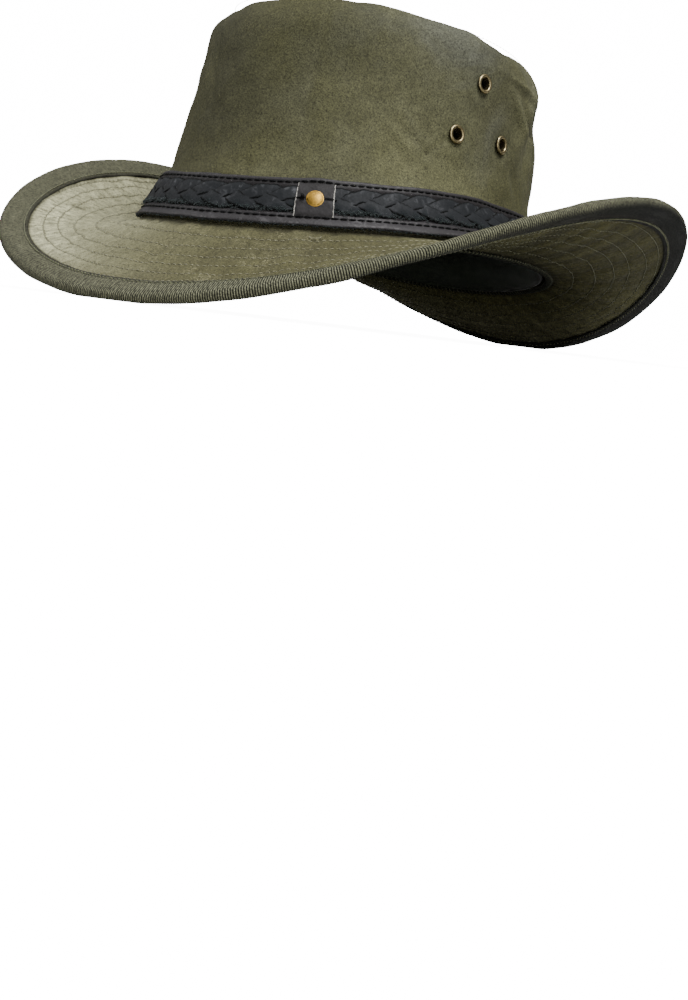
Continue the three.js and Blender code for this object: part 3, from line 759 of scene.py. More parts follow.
def makeCrownSide():
    s = crownCloth
    angle = np.linspace(0, turn, s["angles"], endpoint=False)[:, None]
    foot = wallShare(angle, s["footRise"])
    outer = foot + (2 - foot) * np.interp(np.linspace(0, 1, s["outerRows"]), (0, 0.72, 1), (0, 0.5, 1))[None]
    inner = foot + (2 - foot) * np.linspace(1, 0, s["innerRows"])[None]
    out, back = crownPoint(angle, outer), crownPoint(angle, inner, s["thick"])
    around = np.broadcast_to(angle, outer.shape)
    # The relief is calmed where the band lies.
    bandTop = wallShare(angle, s["bandTop"])
    calm, backCalm = (np.clip((along - bandTop) * 16, 0.12, 1) for along in (outer, inner))
    back = back + crownNormal(angle, inner) * (creasePush(angle, back[..., 2]) * backCalm)[..., None]
    push = crownRelief(out, around) * calm + s["seamRidge"] * bump((outer - 2) * 24, 2.2)
    out = out + crownNormal(angle, outer) * push[..., None]
    # Painted shade at the foot of the wall; the inside face is given a darker tone and a little painted
    # shade.
    marks = {**crownMarks(out, around), "shade": 0.8 * bump((outer - foot) * 130, 2.5)}
    for key, value in {"tone": 0.3, "ash": 0.3, "crack": 0.0, "shade": 0.2}.items():
        marks[key] = np.concatenate([marks[key], np.full(back.shape[:2], value)], axis=1)
    reach = np.concatenate([outer[0] * 56, 240 - inner[0] * 56, [240]])
    grid = np.concatenate([out, back], axis=1)
    piece = gridSurface("crown_cloth", grid, 590 / s["angles"], reach, marks=marks)
    cutEyelets(piece)
    lay(piece, ["crown_side"], "waxed_cotton", "crown")


def cutEyelets(piece):
    bpy.ops.object.select_all(action="DESELECT")
    cutters = []
    for seat, normal in eyeletSeats.values():
        bpy.ops.mesh.primitive_cylinder_add(vertices=24, radius=eyeletShape["cut"] / 1000, depth=0.014)
        cutters.append(bpy.context.object)
        tilt = Vector((0, 0, 1)).rotation_difference(Vector(normal))
        cutters[-1].matrix_world = Matrix.Translation(Vector(seat) / 1000) @ tilt.to_matrix().to_4x4()
    for cutter in cutters:
        cutter.select_set(True)
    bpy.ops.object.join()
    cut = piece.modifiers.new("eyelet holes", "BOOLEAN")
    cut.operation, cut.object, cut.solver = "DIFFERENCE", cutters[-1], "EXACT"
    bpy.context.view_layer.objects.active = piece
    bpy.ops.object.modifier_apply(modifier=cut.name)
    bpy.data.objects.remove(cutters[-1], do_unlink=True)


def makeCrownTop():
    s = crownCloth
    angle = np.linspace(0, turn, s["angles"], endpoint=False)[:, None]
    along = np.linspace(2.008, 2.985, s["topRows"])[None]
    # The underside ends in an allowance that reaches below the wall's edge, so no light passes the seam.
    inside = np.append(np.linspace(2.985, 2.008, s["underRows"]), s["allowance"])[None]
    depth = s["thick"] + np.append(np.zeros(s["underRows"]), s["allowanceDepth"])[None]
    top, under = crownPoint(angle, along), crownPoint(angle, inside, depth)
    push = 0.5 * waves(top, 40, 21) + 0.18 * waves(top, 15, 22) + 0.04 * waves(top, 6, 23)
    push = push * np.clip((along - 2) * 6, 0.1, 1) + s["seamRidge"] * bump((along - 2) * 60, 2.2)
    push = push + creasePush(angle, top[..., 2]) * bump(along - 2, 0.3)
    underPush = creasePush(angle, under[..., 2]) * bump(inside - 2, 0.3)
    top = top + crownNormal(angle, along) * push[..., None]
    under = under + crownNormal(angle, inside) * underPush[..., None]
    grid = np.concatenate([under, top], axis=1)
    tone = np.append(0.5 + 0.1 * waves(grid, 50, 25), [0.4, 0.5])
    piece = tippedSurface("crown_top", grid, [under[:, 0].mean(0), top[:, -1].mean(0)],
                          {"tone": tone, "ash": np.full(len(tone), 0.4), "crack": np.full(len(tone), 0.2)})
    lay(piece, ["crown_tip"], "waxed_cotton", "crown")


def makeCrownStitches():
    # A row of small stitches each side of the seam at the crest.
    runs = []
    for along, off in crownCloth["stitchRows"]:
        def row(a):
            return crownPoint(a, np.full_like(a, along))
        angles = [stitchAngles(row, crownCloth["stitchPitch"], 560, shift) for shift in (0, 0.5)]
        outs = [crownNormal(angle, np.full_like(angle, along)) for angle in angles]
        start, end = (row(angle) + out * off for angle, out in zip(angles, outs))
        runs.append((start, start + (end - start) * 1.35, outs[0]))
    sew("crown_seam_stitches", runs, 0.15, 0.06, "waxed_cotton", "paleThread")


makeCrownSide()
makeCrownTop()
makeCrownStitches()
print("crown made")


# The brim.
brimCloth = {
    "angles": 560, "topRows": 92, "underRows": 68, "half": 1.3, "puff": 0.16, "pinch": 0.12,
    "stitchPitch": 3.0, "stitchLength": 2.2, "stitchRadius": 0.2, "topSeed": 31, "underSeed": 41,
}


def rowPlace(k, angle):
    # How far from the seam a stitch row runs: its size, wandering as a hand-guided row does.
    wander = 0.5 * np.sin(3 * angle + k * 1.7) + 0.3 * np.sin(7 * angle + k * 2.9)
    return brimShape["rows"][k] + wander + 0.15 * np.sin(17 * angle + k)


def brimRelief(angle, distance, total, seed):
    # The cloth puffs between its stitch rows, is pinched along them and puckers across them.
    angle, distance = np.broadcast_arrays(angle, distance)
    rows = [rowPlace(k, angle) for k in range(6)]
    lines = [np.zeros_like(angle), *rows, np.broadcast_to(total - 9, angle.shape)]
    puff = np.zeros(angle.shape)
    for inner, outer in zip(lines[:-1], lines[1:]):
        puff = puff + np.sin(np.pi * np.clip((distance - inner) / (outer - inner), 0, 1)) ** 0.8
    pinch = sum(bump(distance - line, 0.8) for line in rows)
    flat = stack(angle * 150 / 6.2, distance * 0.28)
    relief = 0.10 * waves(flat, 1.5, seed) + 0.08 * waves(flat, 3.4, seed + 1)
    flat = stack(angle * 150, distance)
    relief = relief + 0.14 * waves(flat, 30, seed + 2) + 0.04 * waves(flat, 9, seed + 3)
    relief = relief + 0.2 * waves(flat * [1, 0.12], 15, seed + 4)
    fade = np.clip((total - 8 - distance) / 6, 0, 1) * np.clip((distance + 1) / 4, 0, 1)
    return (brimCloth["puff"] * puff - brimCloth["pinch"] * pinch + relief) * fade


def rowCount(angle, distance):
    # The number of rows passed on the way out from the seam: whole on a row, even between two.
    angle, distance = np.broadcast_arrays(angle, distance)
    places = [rowPlace(k, angle) for k in range(6)]
    places = [places[0] - 9, *places, places[-1] + 20]
    count = np.full(angle.shape, 0.5)
    for inner, outer in zip(places[:-1], places[1:]):
        share = np.clip((distance - inner) / (outer - inner), 0, 1)
        count = count + share * (0.5 if inner is places[0] else 1)
    return np.minimum(count, 6.5)


def brimSide(angle, distance, side, seed, off=0.0):
    # Points on the cloth's upper (1) or lower (-1) face, its relief there and the way up.
    point, _, up, total = brimFrame(angle, fromSeam=distance)
    push = brimRelief(angle, distance, total, seed)
    return point + up * (side * (brimCloth["half"] + push + off))[..., None], push, up


def makeBrim():
    s, lap = brimCloth, brimShape["lap"]
    angle, length = evenAngles(s["angles"], lambda a: brimFrame(a, fromEdge=[25.0])[0][:, 0])
    angle = angle[:, None]
    total = brimFrame(angle, fromSeam=[0.0])[3]
    topShare, underShare = np.linspace(1, 0, s["topRows"])[None], np.linspace(0, 1, s["underRows"])[None]
    topAt, underAt = ((total - 0.4 + lap) * share - lap for share in (topShare, underShare))
    top, topPush, _ = brimSide(angle, topAt, 1, s["topSeed"])
    under, underPush, _ = brimSide(angle, underAt, -1, s["underSeed"])
    faces = ((top, under), (topAt, underAt), (topPush, underPush))
    grid, at, push = (np.concatenate(pair, axis=1) for pair in faces)
    around = np.broadcast_to(angle, at.shape)
    # The tone follows the relief: painted light on the puffs and painted shade along the rows; it is darker
    # at the front, painted shade. Paler on the wearer's right lobe and by the edge towards the front on that
    # side: wear, with painted sheen.
    tone = 0.40 + 0.22 * push + 0.04 * waves(grid, 45, 33) - 0.19 * lobe(20, 32, around)
    worn = 0.06 + 0.70 * np.exp(-(turnFrom(-76, around) / 62) ** 4)
    worn = worn + 0.6 * bump(total - 17 - at, 12) * lobe(-39, 24, around)
    # The underside is lighter and paler towards the back, painted light, and darker a little behind the
    # wearer's left, painted shade, with long faint rays across its rows.
    below = np.s_[:, s["topRows"]:]
    under = around[below]
    rays = waves(stack(under * 150, 0.1 * underAt, 0.0), 13, 37)
    tone[below] += 0.11 * rays - 0.14 * lobe(118, 24, under) + 0.8 * lobe(178, 36, under) - 0.05
    worn[below] = 0.05 + 0.36 * lobe(196, 36, under) * np.clip((underAt - 8) / 25, 0, 1)
    # Painted shadow of a small tuck on the wearer's right lobe, and painted shade along the binding's inner
    # edge and by the seam.
    tuckShadow = 0.85 * lobe(-62, 1.2, around) * bump(at - 38, 4.2)
    edge, foot = 0.85 * bump(total - 10.6 - at, 1.3), 0.6 * bump(at - 1.0, 2.5)
    marks = {"tone": tone, "ash": 0.2, "crack": np.clip(0.4 + 0.25 * waves(grid, 30, 35), 0, 1),
             "row": rowCount(around, at), "worn": worn, "shade": np.clip(edge + foot + tuckShadow, 0, 1)}
    v = np.concatenate([topShare[0] * 68, 140 + underShare[0] * 68, [208]])
    piece = gridSurface("brim_cloth", grid, length / s["angles"], v, marks=marks)
    lay(piece, ["brim"], "waxed_cotton", "brimTop", "brimUnderShaded")
    index = np.zeros(at.shape, np.int32)
    index[:, s["topRows"]:-1] = 1
    piece.data.polygons.foreach_set("material_index", index.ravel())


def makeBrimStitches(name, side, seed, look):
    s = brimCloth
    runs = []
    for k, row in enumerate(brimShape["rows"]):
        path = lambda a: brimFrame(a, fromSeam=[row])[0][:, 0]
        angle = stitchAngles(path, s["stitchPitch"], shift=0.37 * k)[:, None]
        step = turn / len(angle) * s["stitchLength"] / s["stitchPitch"]
        start, _, _ = brimSide(angle, rowPlace(k, angle), side, seed, 0.1)
        end, _, up = brimSide(angle + step, rowPlace(k, angle + step), side, seed, 0.1)
        runs.append((start[:, 0], end[:, 0], side * up[:, 0]))
    sew(name, runs, s["stitchRadius"], 0.2, "waxed_cotton", look)


makeBrim()
makeBrimStitches("brim_stitches_top", 1, brimCloth["topSeed"], "paleThread")
makeBrimStitches("brim_stitches_underside", -1, brimCloth["underSeed"], "shadedThread")
print("brim made")


# The tape round the brim's edge.
bindingShape = {
    "angles": 4100, "roll": 2.75, "ribHeight": 0.09, "half": 2.6,
    # out from the edge and up: the folded inner edge, the stitch groove and the flat towards the roll
    "arm": ((-11.0, 1.62), (-11.1, 2.2), (-9.9, 2.45), (-9.1, 2.2), (-8.3, 2.5), (-4.5, 2.78)),
    "lining": ((-6.0, -1.6), (-0.3, -1.6), (-0.3, 1.6), (-6.0, 1.6)),
    "stitchInset": 9.1, "stitchPitch": 2.6, "stitchLength": 0.72, "stitchOff": 2.45, "pressed": 1.1,
}


def makeBinding():
    s = bindingShape
    arc = np.radians(np.linspace(84, -84, 8))
    roll = s["roll"] * stack(np.cos(arc), np.sin(arc))
    profile = np.array([*s["arm"], *roll, *((x, -z) for x, z in reversed(s["arm"])), *s["lining"]])
    x, z = profile.T
    hidden = np.arange(len(profile)) >= len(profile) - len(s["lining"])
    angle, length = evenAngles(s["angles"], edgePoint)
    angle = angle[:, None]
    point, out, up, _ = brimFrame(angle, fromEdge=np.maximum(-x, 0)[None])
    along = np.linspace(0, length, s["angles"], endpoint=False)[:, None]
    wobble = 0.25 * waves(stack(along * 0.3, x), 9, 51)
    ribbed = 0.28 + 0.80 * lobe(25, 62, angle)
    ribs = s["ribHeight"] * ribbed * np.cos(turn * (along + wobble) / tapeRib["binding"])
    swell = 1 + np.where(hidden, 0, ribs) / s["half"]
    grid = point + out * (np.maximum(x, 0) * swell)[..., None] + up * (z * swell)[..., None]
    lump = 0.14 * waves(grid, 34, 52) + 0.03 * waves(grid, 9, 53)
    grid = grid + up * (np.where(hidden, 0, lump) * np.sign(z))[..., None]
    # It is pressed flat where the hat rests on it.
    pressed = grid[..., 2] < s["pressed"]
    grid[..., 2] = np.where(pressed, np.maximum(grid[..., 2], 0.02), grid[..., 2])
    # Painted shade underneath, most behind the wearer's left, along both folded edges and in the groove of
    # the upper stitches.
    shade = np.zeros(grid.shape[:2]) + 0.75 * np.clip(-z / s["half"], 0, 1) ** 2.5
    shade[:, [0, 1, -5, -6, 2, 3]] = (0.75, 0.75, 0.75, 0.75, 0.5, 0.45)
    shade = shade + 0.34 * lobe(122, 50, angle) * np.clip(-z / 1.5, 0, 1)
    u = (along + wobble)[:, ::-1]
    u = np.concatenate([u, u[:1] + length])
    reach = lengths(profile)
    piece = gridSurface("brim_binding_tape", grid[:, ::-1], np.append(u, u[:, :1], axis=1),
                        np.append(reach, reach[-1] + 3), marks={"shade": shade[:, ::-1], "ribbed": ribbed})
    lay(piece, ["brim_binding"], "ribbed_tape", "binding")


def makeBindingStitches(name, side, lean):
    # One row round the tape's inner edge, zigzag by its lean.
    s = bindingShape
    where = stitchAngles(edgePoint, s["stitchPitch"])
    ends = []
    for angle, offset in ((where, lean), (where + turn / len(where) * s["stitchLength"], -lean)):
        point, _, up, _ = brimFrame(angle, fromEdge=[s["stitchInset"] + offset])
        ends.append((point + up * side * s["stitchOff"])[:, 0])
    sew(name, [(*ends, side * up[:, 0])], 0.27, 0.3, "ribbed_tape", "shadedThread")


makeBinding()
makeBindingStitches("binding_stitches_top", 1, 0.1)
makeBindingStitches("binding_stitches_underside", -1, 0.45)
print("binding made")


# The tape and band inside the opening.
openingTape = {
    "angles": 1400, "columns": 16, "inset": 1.4, "half": 2.0, "thick": 1.4, "under": 1.62, "ribHeight": 0.14,
}
sweatband = {"angles": 420, "rows": 40, "inset": 4.8, "drop": 1.0, "rise": 34, "lean": 1.5, "thick": 1.3}


def makeOpeningTape():
    s = openingTape
    angle, length = evenAngles(s["angles"], lambda a: ring("seam", a))
    section = np.arange(s["columns"]) / s["columns"] * turn
    across, down = s["half"] * np.cos(section), s["thick"] / 2 * (1 + np.sin(section))
    along = np.linspace(0, length, s["angles"], endpoint=False)[:, None]
    point, _, up, _ = brimFrame(angle[:, None], fromSeam=across[None] - s["inset"])
    ribs = s["ribHeight"] * np.cos(turn * (along / tapeRib["opening"] + section / turn))
    grid = point - up * (s["under"] + down * (1 + ribs))[..., None]
    piece = gridSurface("opening_tape_cloth", grid[:, ::-1], length / s["angles"], 10 / s["columns"],
                        marks={"ribbed": 0.9})
    lay(piece, ["opening_tape"], "ribbed_tape", "openingTape")


def makeSweatband():
    # A band that stands inside the opening, folded over at its top edge.
    s = sweatband
    angle = np.linspace(0, turn, s["angles"], endpoint=False)[:, None]
    height = np.linspace(-s["drop"], s["rise"], s["rows"])[None]
    point = crownBase(angle, wallShare(angle, np.maximum(height, 0)))
    point[..., 2] += np.minimum(height, 0)
    inward = unit(point * [-1, -1, 0])
    slack = 0.35 * waves(point, 34, 61) * np.clip((height + 1) / 8, 0, 1)
    depth = s["inset"] + s["lean"] * height / s["rise"] + slack
    fold = 0.5 * bump(height - s["rise"] + 2.2, 1.6)
    outer, inner = point + inward * depth[..., None], point + inward * (depth + s["thick"] + fold)[..., None]
    grid = np.concatenate([outer, inner[:, ::-1]], axis=1)
    piece = gridSurface("sweatband_cloth", grid, 600 / s["angles"], 1)
    lay(piece, ["sweatband"], "sweatband_cloth", "sweatband")


makeOpeningTape()
makeSweatband()
print("opening made")


# The band round the crown. Places on it are given along it, up from the seam and off the cloth.
bandMap = {"steps": 1400, "highest": 29, "middle": 14.5}


def bandMiddle(angle):
    return crownPoint(angle, wallShare(angle[:, None], bandMap["middle"])[:, 0])


bandAngles, bandLength = evenAngles(bandMap["steps"], bandMiddle)
bandAngles = np.append(bandAngles, turn)
bandReach = np.linspace(0, bandLength, bandMap["steps"] + 1)
bandShares = wallShare(bandAngles[:, None], np.arange(bandMap["highest"] + 1.0)[None])
bandPoints = crownPoint(bandAngles[:, None], bandShares)
bandNormals = crownNormal(bandAngles[:, None], np.maximum(bandShares, 0.05))


def onBand(along, up, off):
    # Weighs the four nearest places of the band's map, then stands off the cloth.
    along, up, off = np.broadcast_arrays(np.asarray(along, float) % bandLength, up, off)
    i, j = along / bandLength * bandMap["steps"], np.clip(up, 0, bandMap["highest"] - 0.001)
    a, b = np.minimum(i.astype(int), bandMap["steps"] - 1), j.astype(int)
    u, v = (i - a)[..., None], (j - b)[..., None]

    def at(table):
        return (table[a, b] * (1 - u) * (1 - v) + table[a + 1, b] * u * (1 - v)
                + table[a, b + 1] * (1 - u) * v + table[a + 1, b + 1] * u * v)

    normal = unit(at(bandNormals))
    return at(bandPoints) + normal * (off + 0.3)[..., None], normal


keeperPlace = {"angle": 30.7, "halfWidth": 8.1, "low": 6.2, "high": 24.2}
keeperAlong = np.interp(np.radians(keeperPlace["angle"]), bandAngles, bandReach)


def fromKeeper(along):  # how far a place along the band is from the keeper's middle, either way
    return (along - keeperAlong + bandLength / 2) % bandLength - bandLength / 2


strapShape = {
    "steps": 980, "points": 100, "pointPitch": 0.65,
    # up from the seam, off the cloth
    "section": (
        (2.6, 1.5), (2.35, 2.1), (2.5, 2.8), (3.2, 3.0), (4.6, 2.7), (6.0, 2.25), (6.6, 2.0), (7.2, 2.2),
        (8.3, 2.1), (8.9, 1.5), (10, 1.25), (16, 1.25), (21.4, 1.3), (22.3, 1.95), (23.4, 2.1), (24, 1.85),
        (24.6, 2.1), (25.5, 2.0), (26.2, 1.6), (26.35, 0.8), (26.2, 0.25), (20, 0.2), (14, 0.2), (7, 0.3),
        (4, 0.9), (2.6, 1.5)),
    "grooves": ((6.6, 2.0), (24.0, 1.85)), "stitchPitch": 3.7, "stitchLength": 3.3, "stitchRadius": 0.42,
    "flareAngle": -54, "flareSpread": 8, "flare": 1.8, "arch": 8,
}


def makeStrap():
    # A raised rim along both edges, the lower one a lip that flares on the right; arched over the keeper.
    s = strapShape
    section = smoothProfile(s["section"], s["points"])
    up, off = section.T
    along = np.linspace(0, bandLength, s["steps"], endpoint=False)[:, None]
    outside, lip = np.clip((off - 0.3) / 0.8, 0, 1), np.clip((6.0 - up) / 3.5, 0, 1)
    # Painted shade in both stitch grooves, and a painted highlight along the lip's crest.
    grooveShade = 0.85 * (bump(up - 24, 0.6) + bump(up - 6.6, 0.45)) * (off > 1)
    flat = stack(along, up * 1.6)
    line = 0.8 * bump(up - 3.3, 0.35) * (off > 2.6) * np.clip(0.5 + waves(flat[..., :1], 30, 76), 0, 1)
    angle = np.interp(along, bandReach, bandAngles)
    flare = s["flare"] * lobe(s["flareAngle"], s["flareSpread"], angle) * lip**1.5
    off = off + outside * (0.05 * waves(flat, 24, 71) + 0.02 * waves(flat, 5, 72)) + flare
    off = off + lip * 0.1 * waves(flat, 40, 73) * outside
    arched = 0.12 * waves(flat[..., :1], 40, 74) + 1.1 * bump(fromKeeper(along), s["arch"])
    up = up + np.clip((up - 22) / 4, 0, 1) * arched + lip * 0.12 * waves(flat[..., :1], 34, 75)
    point, _ = onBand(along, np.maximum(up, 0.3), off)
    rough = np.clip((3.0 - up) / 0.8, 0, 1) * (off < 3.0)
    piece = gridSurface("strap_leather", point, bandLength / s["steps"], s["pointPitch"],
                        marks={"rough": rough, "shade": grooveShade, "worn": line})
    lay(piece, ["band_strap"], "black_leather", "strap")


def makeStrapStitches():
    s = strapShape
    count = int(bandLength / s["stitchPitch"])
    along = np.arange(count) * bandLength / count
    near = fromKeeper(along + s["stitchLength"] / 2)
    over = np.where(np.abs(near) < keeperPlace["halfWidth"], 0.45, 0.15)
    runs = []
    for up, off in s["grooves"]:
        up = up + 1.0 * bump(near, s["arch"]) * (up > 15)
        start, normal = onBand(along, up + 0.08 * np.sin(along), off + over)
        end, _ = onBand(along + s["stitchLength"], up + 0.08 * np.sin(along + 3), off + over)
        runs.append((start, end, normal))
    sew("strap_stitches", runs, s["stitchRadius"], 0.3, "black_leather", "blackThread")


# The plait: three flat strips that cross over and under one another.
plaitShape = {
    "period": 41.4, "swing": 3.45, "lift": 0.45, "bed": 2.1, "middle": 15.7, "underKeeper": 1.2,
    "width": 6.9, "thick": 0.85, "steps": 2600,
    # places round a strip's section, in degrees
    "corners": (0, 30, 62, 85, 118, 150, 180, 205, 240, 300, 335),
}


def makePlaitStrip(k):
    # Across: swing sin(t). Height: lift sin(2t), so a strip is on top while it heads outward.
    s = plaitShape
    end = keeperPlace["halfWidth"] - s["underKeeper"]
    along = np.linspace(end, bandLength - end, s["steps"])[:, None]
    t = turn * (along / s["period"] + k / 3)
    slope = s["swing"] * turn / s["period"] * np.cos(t)
    lean = np.sqrt(1 + slope**2)
    half, corner = s["width"] / 2, np.radians(s["corners"])
    across = np.sign(np.cos(corner)) * np.abs(np.cos(corner)) ** 0.45 * half
    across[[0, 6]] = (half, -half)
    tall = np.sign(np.sin(corner)) * np.abs(np.sin(corner)) ** 0.6 * s["thick"] / 2
    tall = tall + np.where(tall >= 0, 0.08 * (1 - (across / half) ** 2), 0)
    calm = np.clip(np.minimum(along - end, bandLength - end - along) / 8, 0, 1)
    flat = stack(along, across * 1.5)
    ragged = 1 + 0.03 * waves(flat[..., :1], 6, 80 + k) + 0.02 * waves(flat[..., :1], 2, 83 + k)
    side = s["swing"] * np.sin(t) + across / lean * ragged
    height = s["bed"] - 0.3 * (1 - calm) + s["lift"] * (0.5 + 0.5 * calm) * np.sin(2 * t) + tall
    height = height + 0.05 * waves(flat, 7, 86 + k) + 0.02 * waves(flat, 2.5, 89 + k)
    point, _ = onBand(keeperAlong + along - across * slope / lean * ragged, s["middle"] + side, height)
    edge = np.abs(across) / half
    rough = np.clip((-side - 2.2) / 2, 0, 1) * (0.6 + 0.4 * waves(flat, 9, 92 + k))
    rough = np.clip(np.maximum(rough, (edge > 0.93) * 0.8), 0, 1)
    worn = 0.75 * bump(side - 4.4, 1.6) * np.clip(waves(flat, 3, 100 + k) - 0.2, 0, 1)
    # Painted shade along the strips' edges, where they part.
    marks = {"rough": rough[:, ::-1], "worn": worn[:, ::-1], "shade": (edge > 0.9)[::-1] * 1.0}
    piece = gridSurface(f"plait_strip_{k + 1}", point[:, ::-1], bandLength / (s["steps"] - 1), 1.5,
                        closedRound=False, marks=marks)
    closeRings(piece, *tubeEnds(s["steps"], len(corner)))
    lay(piece, ["band_braid"] if k == 0 else [], "plaited_leather", "plait")


fuzzShape = {"plait": 3500, "lip": 1900, "radius": 0.09, "length": (0.6, 1.9)}


def makeFuzz():
    # Loose fibres of the flesh side: along the plait's lower edge and under the strap's lip.
    s, source = fuzzShape, np.random.default_rng(201)
    count = s["plait"] + s["lip"]
    lip = np.arange(count) >= s["plait"]
    along = source.uniform(0, bandLength, count)
    covered = ~lip & (np.abs(fromKeeper(along)) < keeperPlace["halfWidth"])
    along = np.where(covered, along + 20, along)
    up = np.where(lip, 2.5 + source.normal(0, 0.25, count), 10.0 + source.normal(0, 0.7, count))
    off = np.where(lip, source.uniform(1.5, 2.6, count), source.uniform(1.9, 3.1, count))
    start, normal = onBand(along, up, off)
    long = source.uniform(*s["length"], count) * np.where(lip, 0.6, 1)
    way = source.normal(0, 1, (count, 3)) * [1, 1, 0.6] - [0, 0, 0.5]
    way = unit(way + normal * 0.3)
    fibres = [(start - way * 0.3, start + way * long[:, None], normal)]
    sew("leather_fuzz", fibres, s["radius"], 0.3, "plaited_leather", "fuzz")


# The keeper over the plait's ends, its thread, and the stud that holds it.
keeperShape = {
    "top": 3.7, "edge": 2.1, "thick": 0.9, "columns": 30, "rows": 44, "slitDepth": 0.35, "slitHalf": 7.9,
    "bar": 60, "barSides": 8, "barRadius": 0.42, "barInset": 0.3,
}
keeperThread = {
    "up": 15.6, "thick": 0.33, "knot": 1.2, "knotOff": 4.8, "knotEnds": ((-6.1, -0.2), (-4.5, 0.3)),
    # along from the keeper's middle, off the cloth: mirrored for the other side
    "path": ((9.6, 2.9), (8.3, 3.0), (7.8, 3.75), (4.2, 4.0)),
}
looseThread = {"radius": 2.6, "distance": 7.2, "off": 0.7, "aside": 1.5}
studShape = {"radius": 4.0, "dome": 0.95, "up": 15.4, "off": 3.6, "stem": 1.0, "stemEnd": -2.2}


def keeperRise(up):  # the height of the domed leather across the band
    s, place = keeperShape, keeperPlace
    half = (place["high"] - place["low"]) / 2
    return s["edge"] + (s["top"] - s["edge"]) * (1 - np.abs((up - place["low"] - half) / half) ** 4)


def makeKeeper():
    s, place = keeperShape, keeperPlace
    up = np.linspace(place["low"], place["high"], s["columns"])
    along = np.linspace(-place["halfWidth"], place["halfWidth"], s["rows"])[:, None]
    flat = stack(along, up)
    outer = keeperRise(up) - 0.25 * np.abs(along / place["halfWidth"]) ** 8
    outer = outer + 0.1 * waves(flat, 6, 95) + 0.05 * waves(flat, 2, 96)
    slit = bump(up - (place["low"] + place["high"]) / 2 - 0.2, 0.6) * (np.abs(along) < s["slitHalf"])
    outer = outer - s["slitDepth"] * slit
    height = np.concatenate([outer, (outer - s["thick"])[:, ::-1]], axis=1)
    point, _ = onBand(keeperAlong + along, np.concatenate([up, up[::-1]]), height)
    # The slit is a dip with painted shade in it.
    piece = gridSurface("keeper_leather", point, 0.36, 0.55, closedRound=False,
                        marks={"shade": np.concatenate([slit, slit * 0], axis=1)})
    closeRings(piece, *tubeEnds(s["rows"], 2 * s["columns"]))
    lay(piece, ["band_keeper"], "black_leather", "keeper")


def makeKeeperEdge(name, side):
    # The pale cut edge down one side of the keeper: a thin uneven bar.
    s, place = keeperShape, keeperPlace
    bar = np.linspace(place["low"] + 0.3, place["high"] - 0.3, s["bar"])[:, None]
    section = np.arange(s["barSides"]) / s["barSides"] * turn
    off = keeperRise(bar) - 0.5 + s["barRadius"] * np.sin(section)
    uneven = 0.06 * waves(bar, 3, 97 + side)[:, None]
    out = place["halfWidth"] + 0.02 + s["barInset"] * np.cos(section) + uneven
    edge, _ = onBand(keeperAlong + side * np.abs(out), bar, off)
    piece = gridSurface(name, edge[::side], 0.3, 0.3, closedRound=False)
    closeRings(piece, *tubeEnds(s["bar"], s["barSides"]))
    lay(piece, [], "black_leather", "rawEdge")


def makeKeeperThread():
    # A black thread lies across the keeper, and is knotted beside the stud.
    s = keeperThread
    half = np.array(s["path"])
    runs = []
    for place in (half * [-1, 1], half[::-1]):
        points, normals = onBand(keeperAlong + place[:, 0], s["up"], place[:, 1])
        runs.append((points[:-1], points[1:], normals[1:]))
    sew("keeper_thread", runs, s["thick"], 0.1, "black_leather", "blackThread")
    along, up = np.array(s["knotEnds"]).T
    knot, out = onBand(keeperAlong + along, s["up"] + up, s["knotOff"])
    sew("keeper_knot", [(knot[:1], knot[1:], out[:1])], s["knot"], 0.5, "black_leather", "blackThread")


def makeLooseThread():
    # A curl of thread on the brim, just under the strap's lip.
    s = looseThread
    t = np.linspace(0.15, np.pi - 0.15, 9)
    angle = np.radians(keeperPlace["angle"] + s["aside"]) + s["radius"] * np.cos(t) / 105
    point, _, up, _ = brimFrame(angle, fromSeam=(s["distance"] + s["radius"] * np.sin(t))[:, None])
    point = (point + up * (brimCloth["half"] + s["off"]))[:, 0]
    sew("loose_thread", [(point[:-1], point[1:], up[1:, 0])], 0.2, 0.05, "waxed_cotton", "paleThread")


def makeStud():
    # A shallow dome with a rounded rim, on a stem.
    s = studShape
    seat, normal = onBand(keeperAlong, s["up"], s["off"])
    arc, radius, top = np.radians(np.linspace(78, 0, 14)), s["radius"], s["dome"] * 0.92
    rise = (np.cos(arc) - np.cos(arc[0])) / (1 - np.cos(arc[0]))
    dome = stack(radius * 0.93 * np.sin(arc), top * rise + 0.2)
    rim = [(s["stem"], s["stemEnd"]), (s["stem"], -0.5), (radius * 0.6, -0.4), (radius * 0.98, -0.3),
           (radius, 0.1), (radius * 0.97, 0.35)]
    profile = np.array([*rim, *dome[:-1]])
    grid = turnedGrid(profile, seat, normal, 72)
    rubbed = np.broadcast_to(0.25 * bump(profile[:, 0] - radius, 0.5), grid.shape[:2])
    piece = tippedSurface("hat_stud", grid, [seat + normal * s["stemEnd"], seat + normal * (top + 0.2)],
                          {"rubbed": np.append(rubbed, [0, 0])})
    lay(piece, ["band_stud"], "stud_brass", "stud")


def makeEyelet(name, seat, normal):
    # A rolled flange outside, a barrel through the cloth, a flat flange inside; the profile is a closed loop.
    s = eyeletShape
    outer, hole, seatUp = s["outer"], s["hole"], s["seat"]
    arc = np.radians(np.linspace(0, 180, 12))
    across = (outer + hole) / 2 + (outer - hole) / 2 * np.cos(arc)
    roll = stack(across, seatUp + s["roll"] * np.sin(arc) ** 0.8)
    barrel = [(hole, -1.0), (hole, -2.9), (outer - 0.6, -3.0), (outer - 0.5, -2.6), (s["barrel"], -2.5),
              (s["barrel"], seatUp - 0.1), (outer - 0.3, seatUp - 0.15)]
    profile = np.array([*roll, *barrel])
    reach = lengths(profile)
    rubbed = bump(profile[:, 1] - seatUp - s["roll"], 0.4) * 0.8
    piece = gridSurface(name.replace("eyelet", "eyelet_ring"), turnedGrid(profile, seat, normal, 56), 0.4,
                        np.append(reach, reach[-1] + 0.5), marks={"rubbed": rubbed})
    lay(piece, [name], "aged_brass", "eyelet")


